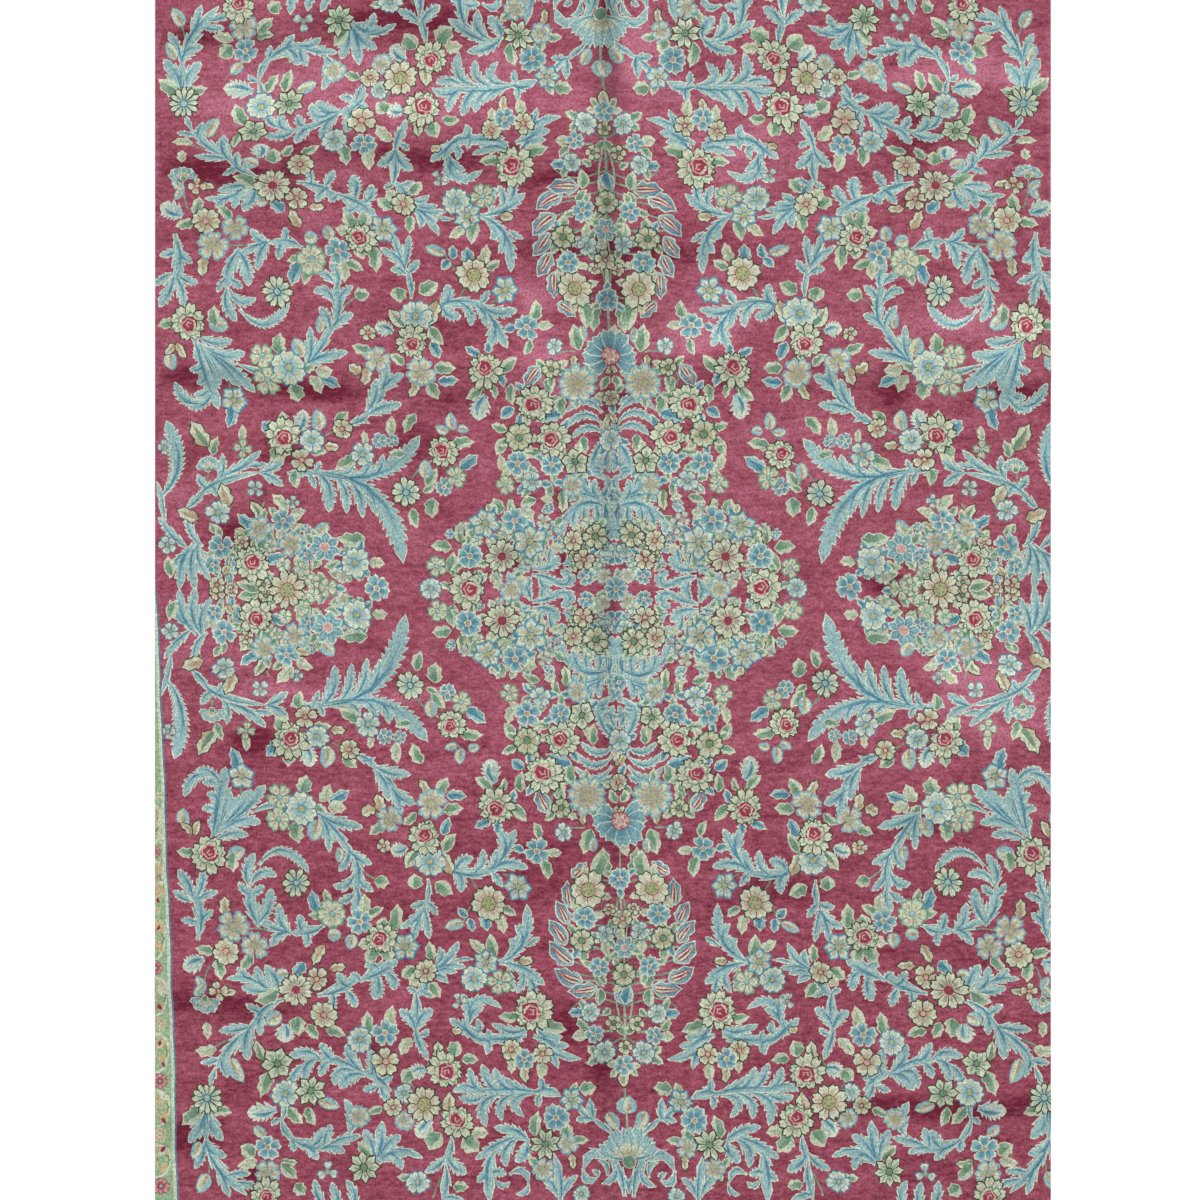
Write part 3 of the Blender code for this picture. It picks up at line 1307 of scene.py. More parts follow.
def leaf(name, root, tip, half, draw):
    """A leaf or bud: its rim, its body, the deeper half beside its vein and the vein. A frond is a small
    plume, and a paisley leaf holds three ovals."""
    look = LOOKS[name]
    span = float(np.linalg.norm(tip - root))
    aside = np.array([-(tip - root)[1], (tip - root)[0]]) / span
    bow = draw.uniform(-BOW, BOW) * span
    if name == "frond":
        wools = (look.rim, look.root, look.tip, look.core)
        shapes = plume(root, 0.5 * (root + tip) + 2.0 * bow * aside, tip, half, FROND_TEETH, wools)
        return [shape._replace(layer=LEAF) for shape in shapes]
    bud = name == "bud"
    widths = PROFILE.bud if bud else PROFILE.leaf
    half = max(half, SLIMMEST * span)
    lobed = not bud and half > LOBED_FROM
    both = [widths * (PROFILE.lobes if lobed and draw.uniform() < LOBED_SHARE else 1.0) for _ in range(2)]
    left, right, left_body, right_body = [
        leaf_side(root, tip, half, side_widths, bow, sign, inset)
        for inset in (0.0, LINE) for sign, side_widths in zip((1.0, -1.0), both)
    ]
    middle = leaf_side(root, tip, half, widths * 0.0, bow, 1.0, LINE)
    deeper = left_body if draw.uniform() < 0.5 else right_body
    body = np.concatenate([left_body, right_body[-2::-1]])
    shapes = [plain(LEAF, np.concatenate([left, right[-2::-1]]), root, look.rim, OUTLINE)]
    if name == "paisley":
        vein = PROFILE.vein[1:-1, None] * half
        shapes.append(shaded(LEAF, body, root, span, BODY_TURNS, look.band, look.root))
        for share, first, second in PAISLEY_OVALS:
            oval = ribbon(middle[1:-1], aside, -share * vein, share * vein)
            shapes.append(shaded(LEAF, oval, root, span, OVAL_TURNS, first, second))
        return shapes
    vein = (BUD_VEIN if bud else 1.0) * PROFILE.vein[:, None] * half
    core = root + (middle - root) * CORE_ALONG
    streak = np.concatenate([core + vein * aside, (core - vein * aside)[-2::-1]])
    half_body = np.concatenate([deeper[1:-1], middle[-2:0:-1]])
    half_wool = look.core if name == "leaf" else look.band
    return shapes + [
        shaded(LEAF, body, root, span, BODY_TURNS, look.root, look.tip),
        shaded(LEAF, half_body, root, span, HALF_TURNS, half_wool, look.band),
        shaded(LEAF, streak, root, span, VEIN_TURNS, look.core, look.root),
    ]


# Flowers. A petal's profile gives shares of its radius and of its half width.
ROUND_PETAL = columns("""
along across
0.12 0.14
0.42 0.72
0.74 1.00
0.98 0.62
0.89 0.00
""")
SHARP_PETAL = columns("""
along across
0.16 0.10
0.44 0.82
0.68 1.00
0.86 0.52
1.00 0.00
""")
CORE = columns("""
along across
0.22 0.00
0.48 0.42
0.78 0.00
""")
FULL_TURN = 360.0
PETAL_INSET = 0.85  # a line is inset from a petal's sides by so much less than from its end
PETAL_KEEPS = 0.4
PETAL_HALF = 0.74  # half width, as a share of what touches the next petal at the radius
SHARP_SHARE = 0.84
ROUND_SHARE = 1.04
FAN_SHARE = 1.35
WIDEST_PETAL = 0.44  # share of the radius
WIDEST_GAP = 80.0
FULL_LINE_RADIUS = 12  # smaller flowers have a finer line
FINEST_LINE = 0.65
ANGLE_DRIFT = 0.05  # shares of the gap between petals, and of the radius
REACH_DRIFT = 0.045
CORE_DRIFT = 0.06
BANDED_FROM = 8.5  # the radius from which petals have a band inside their line, and from which a core
CORED_FROM = 9.0
BAND_INSET = 2.1
CORE_HALF = 0.7
BAND_TURNS = (0.2, 0.6)
PETAL_TURNS = (0.25, 0.72)
CORE_TURNS = (0.25, 0.95)
LINED_HEART_FROM = 6.0
HEART_LINE = 0.8
HEART_SIDES = 8
BELL_CUP = 0.62
BELL_SPREAD = 90.0
PALMETTE_CUP = 0.36
SEEDS = 5
SEED_RING = 0.58
SEED_PHASE = 0.4
SEED_SIZE = 0.2
PALMETTE_PETALS = 6
PALMETTE_TURN = 30
ROSE_PETALS = 5
ROSE_TURN = 20
ROSE_ASIDE = 0.16
ROSE_INNER = 0.66
ROSE_SIDES = 9
ROSE_RAGGED = 0.10
ARC_TURN = 130.0
ARC_WAVE = 0.06 * np.array([1, -1, 1, -1, 1, -1, 1])
ARC_OUT = 0.10
ARC_IN = 0.08
ROSE_ARCS = """
share sweep wool
0.90 150 pink
0.66 200 pink
0.72 90 cream
0.28 250 pink
"""


def petal(middle, angle, profile, radius, half, inset):
    """A petal, turned by its angle round the flower's middle. The profile has shares of its radius and of
    its half width."""
    along = profile.along * (radius - inset)
    across = np.maximum(profile.across * half - inset * PETAL_INSET, PETAL_KEEPS * profile.across * half)
    upper = np.stack([along, across], axis=1)
    return middle + turn_points(np.concatenate([upper, (upper * [1, -1])[-2::-1]]), angle)


def disc(radius, count, phase=0.0):
    """Points of a round blot."""
    angle = phase + 2 * np.pi * np.arange(count) / count
    return radius * np.stack([np.cos(angle), np.sin(angle)], axis=1)


def ring_of_petals(look, middle, radius, count, turn, spread, pointed, draw):
    """Petals round a middle, laid one by one: each has its outline, body and core. spread is the angle they
    fan over, and the outermost of a fan come first."""
    fanned = spread < FULL_TURN
    gap = spread / (count - 1 if fanned else count)
    profile, share = (SHARP_PETAL, SHARP_SHARE) if pointed else (ROUND_PETAL, ROUND_SHARE)
    half = PETAL_HALF * radius * math.tan(math.radians(min(gap, WIDEST_GAP) / 2)) * share
    half = min(half * (FAN_SHARE if fanned else 1.0), WIDEST_PETAL * radius)
    line = LINE * min(1.0, max(FINEST_LINE, radius / FULL_LINE_RADIUS))
    angles = turn + (np.arange(count) - ((count - 1) / 2 if fanned else 0)) * gap
    angles = angles + draw.normal(0.0, ANGLE_DRIFT * gap, count)
    reaches = radius * (1.0 + draw.normal(0.0, REACH_DRIFT, count))
    banded = look.band != look.tip and radius > BANDED_FROM
    shapes = []
    for number in np.argsort(-np.abs(angles - turn)) if fanned else range(count):
        angle, reach = angles[number], reaches[number]
        edge = petal(middle, angle, profile, reach, half, 0.0)
        shapes.append(plain(FLOWER, edge, middle, look.rim, OUTLINE))
        if banded:
            band = petal(middle, angle, profile, reach, half, line)
            shapes.append(shaded(FLOWER, band, middle, radius, BAND_TURNS, look.root, look.band))
        body = petal(middle, angle, profile, reach, half, BAND_INSET * line if banded else line)
        shapes.append(shaded(FLOWER, body, middle, radius, PETAL_TURNS, look.root, look.tip))
        if radius > CORED_FROM:
            core_angle = angle + draw.normal(0.0, CORE_DRIFT * gap)
            core = petal(middle, core_angle, CORE, reach, CORE_HALF * half, 0.0)
            shapes.append(shaded(FLOWER, core, middle, radius, CORE_TURNS, look.core, look.tip))
    return shapes


def rose_heart(middle, radius, draw):
    """A rose is lopsided: its striped heart looks to one side, with a second row of petals round it."""
    way = draw.uniform(0.0, FULL_TURN)
    aside = middle + turn_points(np.array([[ROSE_ASIDE * radius, 0.0]]), way)[0]
    heart = HEARTS["rose"] * radius
    inner = LOOKS["rose"]._replace(rim="moss", root="tan")
    reach = ROSE_INNER * radius
    shapes = ring_of_petals(inner, aside, reach, ROSE_PETALS, way + ROSE_TURN, FULL_TURN, False, draw)
    blot = disc(heart, ROSE_SIDES) * (1.0 + draw.normal(0.0, ROSE_RAGGED, (ROSE_SIDES, 1)))
    shapes.append(plain(FLOWER, aside + blot, aside, "crimson"))
    for number, arc in enumerate(chart(ROSE_ARCS)):
        angles = np.radians(way + ARC_TURN * number + np.linspace(0.0, arc.sweep, len(ARC_WAVE)))
        outward = np.stack([np.cos(angles), np.sin(angles)], axis=1)
        ragged = (arc.share + ARC_WAVE)[:, None]
        stripe = ribbon(0.0, outward, ragged - ARC_IN, ragged + ARC_OUT)
        shapes.append(plain(FLOWER, aside + heart * stripe, aside, arc.wool))
    return shapes


def flower(name, middle, radius, count, turn, draw):
    """A flower: its petals, and a heart with its own line. A bell and a palmette hold a second ring of
    petals, and a sun's heart holds seeds."""
    look = LOOKS[name]
    count = int(count)
    spread = FAN_SPREAD.get(name, FULL_TURN)
    shapes = ring_of_petals(look, middle, radius, count, turn, spread, name in POINTED, draw)
    if name == "rose":
        return shapes + rose_heart(middle, radius, draw)
    if name == "bell":
        cup = LOOKS["cream"]._replace(rim="azure")
        petals = max(3, count - 2)
        shapes += ring_of_petals(cup, middle, BELL_CUP * radius, petals, turn, BELL_SPREAD, False, draw)
    if name == "palmette":
        cup = LOOKS["crimson"]._replace(core="cream")
        reach, way = PALMETTE_CUP * radius, turn + PALMETTE_TURN
        shapes += ring_of_petals(cup, middle, reach, PALMETTE_PETALS, way, FULL_TURN, False, draw)
    heart = HEARTS.get(name, OTHER_HEARTS) * radius
    if radius > LINED_HEART_FROM:
        lined = middle + disc(heart + HEART_LINE, HEART_SIDES)
        shapes.append(plain(FLOWER, lined, middle, look.rim, OUTLINE))
        shapes.append(plain(FLOWER, middle + disc(heart, HEART_SIDES), middle, look.heart))
    if name == "sun":
        for place in disc(SEED_RING * heart, SEEDS, SEED_PHASE):
            shapes.append(plain(FLOWER, middle + place + disc(SEED_SIZE * heart, SEEDS), middle, "moss"))
    return shapes


def points_of(row, *names, axes=("u", "v")):
    """Places in a row of a chart, each from its two columns."""
    return [np.array([getattr(row, f"{name}_{axis}") for axis in axes]) for name in names]


# The medallion is an oval of these half sizes. Its arms, its pendant and the side bouquet are boxes.
MEDALLION_U = 178
MEDALLION_V = 95
CROWDED_BOXES = chart("""
from_u to_u from_v to_v
-9 105 60 250
-9 58 -9 405
235 400 -9 72
""")
CROWDED_FLOWER = 9  # the radius from which a flower in a crowd has leaves behind it
CHART_SEED = 11
PLUME_GROWTH = 0.92
PLUME_EXTRA = 0.9
LEAF_GROWTH = 0.95
FLOWER_GROWTH = 1.03
FILLER_TURNS = np.array([0.0, 118.0, 245.0])
FILLER_LOOKS = ("leaf", "leaf", "husk", "blue")
FILLER_ROOT = 0.6  # share of the flower's radius
FILLER_PAST = 8.5
FILLER_HALF = 4.2


def crowded(u, v):
    """Whether a place lies in the medallion, its pendant or a side bouquet. Small leaves fill gaps there."""
    medallion = (u / MEDALLION_U) ** 2 + (v / MEDALLION_V) ** 2 < 1
    return medallion or any(box.from_u < u < box.to_u and box.from_v < v < box.to_v for box in CROWDED_BOXES)


def chart_motifs():
    """Each motif of the quarter: its shapes, and whether it stands on the long and the short centre line."""
    draw = np.random.default_rng(CHART_SEED)
    motifs = [(stem(*points_of(row, "from", "bend", "to")), False, False) for row in chart(STEMS)]
    for row in chart(PLUMES):
        half = PLUME_GROWTH * row.width + PLUME_EXTRA
        motifs.append((plume(*points_of(row, "base", "bend", "tip"), half, row.teeth), False, False))
    for row in chart(LEAVES):
        shapes = leaf(row.look, *points_of(row, "root", "tip"), LEAF_GROWTH * row.width, draw)
        motifs.append((shapes, row.root_u == 0 and row.tip_u == 0, row.root_v == 0 and row.tip_v == 0))
    flowers = sorted(chart(FLOWERS), key=lambda row: row.radius)
    for row in flowers:
        if crowded(row.u, row.v) and row.radius > CROWDED_FLOWER:
            middle = np.array([row.u, row.v])
            for turn in draw.uniform(0.0, FULL_TURN) + FILLER_TURNS:
                way = turn_points(np.array([[row.radius, 0.0]]), turn)[0]
                look = FILLER_LOOKS[draw.integers(len(FILLER_LOOKS))]
                tip = middle + (1.0 + FILLER_PAST / row.radius) * way
                shapes = leaf(look, middle + FILLER_ROOT * way, tip, FILLER_HALF, draw)
                motifs.append((shapes, row.u == 0, row.v == 0))
    for row in flowers:
        middle = np.array([row.u, row.v])
        shapes = flower(row.look, middle, FLOWER_GROWTH * row.radius, row.petals, row.turn, draw)
        motifs.append((shapes, row.u == 0, row.v == 0))
    return motifs


# ---------------------------------------------------------------- from the chart to the rug

TILES_ACROSS = 2
TILES_ALONG = 3
TILES = [
    (f"{end}_{side}", column, row)
    for row, end in enumerate(("near", "middle", "far"))
    for column, side in enumerate(("left", "right"))
]
WIDTH = 2 * HIGH[0]
LENGTH = 2 * HIGH[1]
SIDES = ((0, LOW[0]), (0, HIGH[0]), (1, LOW[1]), (1, HIGH[1]))
EDGE = 1.0e-5  # closer to a line than this is on it

# How the far end is woven, in squares: past the design's middle part it is shorter, and bulges a little.
SIDE_PARTS_FROM = 120
SIDE_FADE = 150
FAR_PULL = 24.0
FAR_PULL_FROM = 400
FAR_PULL_FADE = 110
FAR_PULL_SIDE_FADE = 300
Bulge = namedtuple("Bulge", "size middle half")
BULGE_ALONG = Bulge(4.0, 340, 110)
BULGE_ACROSS = Bulge(7.0, 330, 170)

# Slow waves in a hand-knotted rug's lines, in squares: the sine of along * y + across * x + phase.
WAVES = chart("""
moves size along across phase
across 1.1 0.031 0.011 0.8
across 0.7 0.067 -0.043 0
along 1.0 -0.013 0.027 2.1
along 0.7 0.037 0.059 0
""")

# How far each motif strays from the chart, as normal spreads in squares, shares and degrees.
QUARTER_SEED = 100
SHIFT_SPREAD = 0.55
SIZE_SPREAD = 0.025
TURN_SPREAD = 2.5
PLUME_SHIFTS = 0.4  # plumes and stems only shift, by this share
RAGGED = 0.20
SHADES = (0.93, 1.06)

# The slim stripe: its lines from the outside in, and how it is drawn, in squares.
GUARD_LINES = """
across wool
0 deep
-1.7 pale
-2.8 cream
-4.8 guard
"""

# Scrolls from each of its flowers to the next, through three places. A place is so much of the stripe's width
# and u squares across it, and so much of the way and v squares down it.
GUARD_SCROLLS = """
wool half from_wide from_u from_way from_v bend_wide bend_u bend_way bend_v to_wide to_u to_way to_v
cream 1.5 0 -1 0 9 1 2 0 12 1 -1 0.5 -2
straw 1.0 0 0 0 12 1 0 0 15 1 -3 0.5 0
cream 1.4 1 -1 0.5 0 1 -2 1 -9 0 -1 1 -8
straw 1.3 0 2 0.5 -7 0 -3 0.5 0 0 4 0.5 7
moss 0.7 1 -4 0.5 -6 1 1 0.5 0 1 -5 0.5 8
"""
GUARD_WAVES = ((0.5, 23.0), (0.3, 9.0))  # how far its lines waver, and over how long a way
GUARD_SEED = 5
GUARD_STATIONS = 60
GUARD_FAR_LEFT = -30.0
GUARD_MARGIN = 7.0


def smooth_step(value):
    """0 below zero, 1 above one, and an S-curve between them."""
    inside = np.clip(value, 0.0, 1.0)
    return inside ** 2 * (3.0 - 2.0 * inside)


def raised_cosine(distance, half_width):
    """A soft ridge: 1 in the middle, 0 from a half width outwards."""
    return 0.5 + 0.5 * np.cos(np.pi * np.clip(np.abs(distance) / half_width, 0.0, 1.0))


def bulge(along, shape):
    return shape.size * raised_cosine(along - shape.middle, shape.half)


def weave_in(points, side, end, sizes):
    """Metres on the rug of points of the quarter chart. The far end is woven shorter towards its sides, the
    whole leans, and the lines waver by a square as they do on a hand-knotted rug."""
    across, along = points[:, 0], points[:, 1]
    if end > 0:
        pulled = FAR_PULL * smooth_step((along - FAR_PULL_FROM) / FAR_PULL_FADE)
        along = along - pulled * smooth_step((across - SIDE_PARTS_FROM) / FAR_PULL_SIDE_FADE)
        side_part = smooth_step((across - SIDE_PARTS_FROM) / SIDE_FADE)
        along = along + bulge(along, BULGE_ALONG) * side_part
        across = across + bulge(along, BULGE_ACROSS) * side_part
    x = side * across
    y = end * along
    moved = {"across": x, "along": y}
    for wave in WAVES:
        sway = wave.size * np.sin(wave.along * y + wave.across * x + wave.phase)
        moved[wave.moves] = moved[wave.moves] + sway
    up = sizes.square * moved["along"]
    aside = sizes.square * moved["across"] + sizes.lean * up
    return np.stack([sizes.centre_x + aside, sizes.centre_y + up], axis=1)


def laid(shape, ends, scale):
    """A shape on the rug, in metres. ends holds its root, then its points."""
    start, reach = shape.start * scale, shape.reach * scale
    return shape._replace(points=ends[1:], root=ends[0], start=start, reach=reach)


def woven_motifs(sizes):
    """All motifs of the four quarters, in metres, each a little off the chart in place, size and turn."""
    woven = []
    motifs = chart_motifs()
    for number, (side, end) in enumerate(((-1, -1), (1, -1), (-1, 1), (1, 1))):
        draw = np.random.default_rng(QUARTER_SEED + number)
        for shapes, on_long_line, on_short_line in motifs:
            shift = draw.normal(0.0, SHIFT_SPREAD, 2)
            size = 1.0 + draw.normal(0.0, SIZE_SPREAD)
            angle = draw.normal(0.0, TURN_SPREAD)
            shade = draw.uniform(*SHADES)
            if (on_long_line and side < 0) or (on_short_line and end < 0):
                continue
            middle = shapes[0].points.mean(axis=0)
            if shapes[0].layer < LEAF:
                size, angle, shift = 1.0, 0.0, shift * PLUME_SHIFTS
            for shape in shapes:
                ragged = shape.points + draw.normal(0.0, RAGGED, shape.points.shape)
                outline = np.concatenate([shape.root[None], ragged])
                ends = middle + shift + size * turn_points(outline - middle, angle)
                woven.append((laid(shape, weave_in(ends, side, end, sizes), sizes.square * size), shade))
    return woven


def guard_stripe(sizes):
    """The slim stripe at the near left: a green wedge with a blue and two pale lines, a scroll, leaves and
    rosettes."""
    edge = columns(GUARD_EDGE)
    downs = np.linspace(edge.down[0], edge.down[-1], GUARD_STATIONS)
    line = np.stack([np.interp(downs, edge.down, edge.across), downs], axis=1)
    line[:, 0] += sum(size * np.sin(downs / way) for size, way in GUARD_WAVES)
    draw = np.random.default_rng(GUARD_SEED)
    left = np.array([[GUARD_FAR_LEFT, downs[-1]], [GUARD_FAR_LEFT, downs[0]]])
    shapes = []
    for row in chart(GUARD_LINES):
        inner = line + [row.across, 0.0]
        shapes.append(plain(FLOWER, np.concatenate([inner, left]), inner[0], row.wool))
    stops = sorted(row.down for row in chart(GUARD_FLOWERS))
    for above, below in zip(stops[:-1], stops[1:]):
        wide = float(np.interp(below, edge.down, edge.across)) - GUARD_MARGIN
        for row in chart(GUARD_SCROLLS):
            shares = points_of(row, "from", "bend", "to", axes=("wide", "way"))
            shifts = points_of(row, "from", "bend", "to")
            places = np.array([0.0, above]) + np.array(shares) * [wide, below - above] + shifts
            scroll = stem(*places, row.half)[0]
            shapes.append(scroll._replace(layer=FLOWER, first=row.wool, second=row.wool))
    for row in chart(GUARD_LEAVES):
        root, tip = points_of(row, "root", "tip", axes=("across", "down"))
        body = leaf("husk", root, tip, row.width, draw)[0]
        shapes.append(body._replace(layer=FLOWER, first=row.look, second=row.look))
    for row in chart(GUARD_FLOWERS):
        shapes += flower(row.look, np.array([row.across, row.down]), row.radius, row.petals, row.turn, draw)
    woven = []
    for shape in shapes:
        ends = np.concatenate([shape.root[None], shape.points]) * [1, -1] * sizes.square + [LOW[0], 0.0]
        woven.append((laid(shape, ends, sizes.square), 1.0))
    return woven


def plainer(points, near):
    """An outline without every second point that lies near the line between its neighbours."""
    before, after = np.roll(points, 1, axis=0), np.roll(points, -1, axis=0)
    line = after - before
    away = np.abs(line[:, 0] * (points - before)[:, 1] - line[:, 1] * (points - before)[:, 0])
    away = away / np.maximum(np.linalg.norm(line, axis=1), TINY)
    return points[(away > near) | (np.arange(len(points)) % 2 == 0)]


class FlatMap:
    """The rug's plan, cut into triangles along every outline. Each triangle belongs to its top shape."""

    def __init__(self, woven, spacing, rim_lines):
        self.woven = woven
        corners = np.array([[LOW[0], LOW[1]], [HIGH[0], LOW[1]], [HIGH[0], HIGH[1]], [LOW[0], HIGH[1]]])
        seams = [(0, LOW[0] + WIDTH * part / TILES_ACROSS) for part in range(1, TILES_ACROSS)]
        seams += [(1, LOW[1] + LENGTH * part / TILES_ALONG) for part in range(1, TILES_ALONG)]
        insets = (0.0, *rim_lines)
        self.ruled = [(axis, limit - np.sign(limit) * inset) for axis, limit in SIDES for inset in insets]
        self.ruled += seams
        lines = [(corners - np.sign(corners) * inset, True) for inset in insets]
        for axis, value in seams:
            ends = np.array([LOW[:2], HIGH[:2]])
            ends[:, axis] = value
            lines.append((ends, False))
        lines += [(shape.points, True) for shape, _ in woven]
        edges = []
        count = 0
        for points, closed in lines:
            size = len(points)
            steps = range(size if closed else size - 1)
            edges += [(count + step, count + (step + 1) % size) for step in steps]
            count += size
        self.cut(np.concatenate([points for points, _ in lines]), edges)
        used, kept = np.unique(self.shown_edges(), return_inverse=True)
        self.cut(np.concatenate([self.points[used], self.ground(spacing)]), kept.reshape(-1, 2).tolist())

    def ground(self, spacing):
        """Points spread over the rug in staggered rows."""
        low, high = LOW + spacing, HIGH - 0.5 * spacing
        xs, ys = np.meshgrid(*(np.arange(low[axis], high[axis], spacing) for axis in (0, 1)))
        xs[1::2] += 0.5 * spacing
        places = np.stack([xs.ravel(), ys.ravel()], axis=1)
        return places[(np.abs(places) < HIGH[:2] - spacing * 0.5).all(axis=1)]

    def cut(self, places, edges):
        """Triangles between the places, none across an edge, and the shape that each belongs to."""
        cut = delaunay_2d_cdt([Vector(place) for place in places.tolist()], edges, [], 0, TINY, False)
        self.points = np.array([tuple(place) for place in cut[0]])
        triangles = np.array(cut[2])
        middles = self.points[triangles].mean(axis=1)
        inside = (np.abs(middles) < HIGH[:2]).all(axis=1)
        triangles, middles = triangles[inside], middles[inside]
        order = np.argsort(middles[:, 0], kind="stable")
        self.triangles, self.middles = triangles[order], middles[order]
        self.owner = self.top_shapes()

    def shown_edges(self):
        """Edges where two shapes meet, and those on ruled lines. Outlines under other shapes drop out."""
        pairs = ([0, 1], [1, 2], [2, 0])
        sides = np.sort(np.concatenate([self.triangles[:, pair] for pair in pairs]), axis=1)
        order = np.lexsort((sides[:, 1], sides[:, 0]))
        sides, owners = sides[order], np.tile(self.owner, 3)[order]
        twin = (sides[1:] == sides[:-1]).all(axis=1)
        shown = np.ones(len(sides), dtype=bool)
        shown[1:][twin] = owners[1:][twin] != owners[:-1][twin]
        shown[:-1][twin] = False
        for axis, value in self.ruled:
            on_line = np.abs(self.points[:, axis] - value) < EDGE
            shown |= on_line[sides].all(axis=1)
        return np.unique(sides[shown], axis=0)

    def top_shapes(self):
        """The number of the last shape laid over each triangle, or 0 for bare ground. A place is in a
        shape if a line from it to the right crosses the outline an odd number of times."""
        owner = np.zeros(len(self.triangles), dtype=int)
        sorted_x = self.middles[:, 0]
        for number, (shape, _) in enumerate(self.woven, start=1):
            low, high = shape.points.min(axis=0), shape.points.max(axis=0)
            first, last = np.searchsorted(sorted_x, [low[0], high[0]])
            near = first + np.flatnonzero(
                (self.middles[first:last, 1] > low[1]) & (self.middles[first:last, 1] < high[1]))
            x, y = self.middles[near, 0][:, None], self.middles[near, 1][:, None]
            start_x, start_y = shape.points.T
            end_x, end_y = np.roll(shape.points, -1, axis=0).T
            level = np.where(end_y == start_y, 1.0, end_y - start_y)
            cross_x = start_x + (y - start_y) * (end_x - start_x) / level
            crossings = ((start_y > y) != (end_y > y)) & (x < cross_x)
            owner[near[crossings.sum(axis=1) % 2 == 1]] = number
        return owner

    def tile(self, column, row):
        """One tile of the plan: the owner of each of its triangles, its places, and its triangles."""
        across = ((self.middles[:, 0] - LOW[0]) / (WIDTH / TILES_ACROSS)).astype(int) == column
        along = ((self.middles[:, 1] - LOW[1]) / (LENGTH / TILES_ALONG)).astype(int) == row
        used, faces = np.unique(self.triangles[across & along], return_inverse=True)
        return self.owner[across & along], self.points[used], faces.reshape(-1, 3)


def linear(gamma_colour):
    """Screen colour to light."""
    value = np.array(gamma_colour)
    return np.where(value <= 0.04045, value / 12.92, ((value + 0.055) / 1.055) ** 2.4)


SHORTEST_TURN = 1.0e-4  # the least distance over which one wool turns to the next


class Dyes:
    """The colour of each shape at each corner, from its first wool at the root to its second at its reach."""

    def __init__(self, woven, colours):
        palette = np.array([linear(getattr(colours, name)) for name in WOOLS])
        shapes = [shape for shape, _ in woven]
        shade = np.array([shade for _, shade in woven])[:, None]
        ground = linear(colours.ground)[None]
        first = [WOOLS.index(shape.first) for shape in shapes]
        second = [WOOLS.index(shape.second) for shape in shapes]
        self.first = np.concatenate([ground, palette[first] * shade])
        self.second = np.concatenate([ground, palette[second] * shade])
        self.root = np.concatenate([[[0.0, 0.0]], [shape.root for shape in shapes]])
        self.start = np.array([0.0] + [shape.start for shape in shapes])
        reaches = [max(shape.reach, shape.start + SHORTEST_TURN) for shape in shapes]
        self.reach = np.array([1.0] + reaches)

    def at(self, owner, places):
        """owner (n,), places (n, corners, 2): light of each corner."""
        away = np.linalg.norm(places - self.root[owner][:, None], axis=2)
        share = (away - self.start[owner][:, None]) / (self.reach - self.start)[owner][:, None]
        share = smooth_step(share)[:, :, None]
        return self.first[owner][:, None] * (1 - share) + self.second[owner][:, None] * share


# ---------------------------------------------------------------- the rug's folds, as its solid has them

# A ripple runs across the rug, at the height centre_y, from from_x to to_x. In metres.
Ripple = namedtuple("Ripple", "name centre_y from_x to_x half_width height")
RIPPLES = (
    Ripple("far_end_left", 1.255, -1.10, -0.18, 0.080, 0.0060),
    Ripple("far_broad", 1.030, -1.10, 0.10, 0.115, 0.0065),
    Ripple("far_broad_right", 1.060, 0.12, 1.10, 0.105, 0.0035),
    Ripple("below_crown", 0.815, -0.24, 0.36, 0.070, 0.0045),
    Ripple("over_medallion", 0.505, -1.10, 1.10, 0.062, 0.0050),
    Ripple("left_shoulder", 0.345, -1.10, -0.62, 0.055, 0.0035),
    Ripple("near_left", -0.845, -1.10, -0.62, 0.055, 0.0035),
    Ripple("near_right", -1.085, 0.42, 1.10, 0.075, 0.0040),
)
END_FADE = 0.16  # how far a ripple takes to die away at its ends
CREASE_HALF_WIDTH = 0.050
CREASE_HEIGHT = 0.0060
CREASE_LOW_END = 0.30
CREASE_FADE = 0.35
CREASE_FOOT_X = 0.053  # where the crease's line would meet the near end
CREASE_LEAN = -0.0215  # how far it leans to +X over each metre of length
WANDER = 0.012
WANDER_WAVES = 1.3
WANDER_PHASE = 0.6
FOLD_ROUNDS = 4
SLOPE_STEP = 0.0004

# The nap's patches of painted shade and sheen fade as a bell, sway with x, and the near part is painted a
# little darker as a whole.
NAP_SHADE_STRENGTH = 1.15
NAP_SHADE_FADE = 1.1
NAP_SHADE_BELL = 1.4
NAP_SHADE_SWAY = 0.3
NAP_SHADE_SWAY_WAVES = 17.0
NAP_SHADE_SWAY_PHASE = 40.0
NEAR_PART = -0.15
NEAR_PART_FADE = 0.5
NEAR_PART_SHADE = 0.25


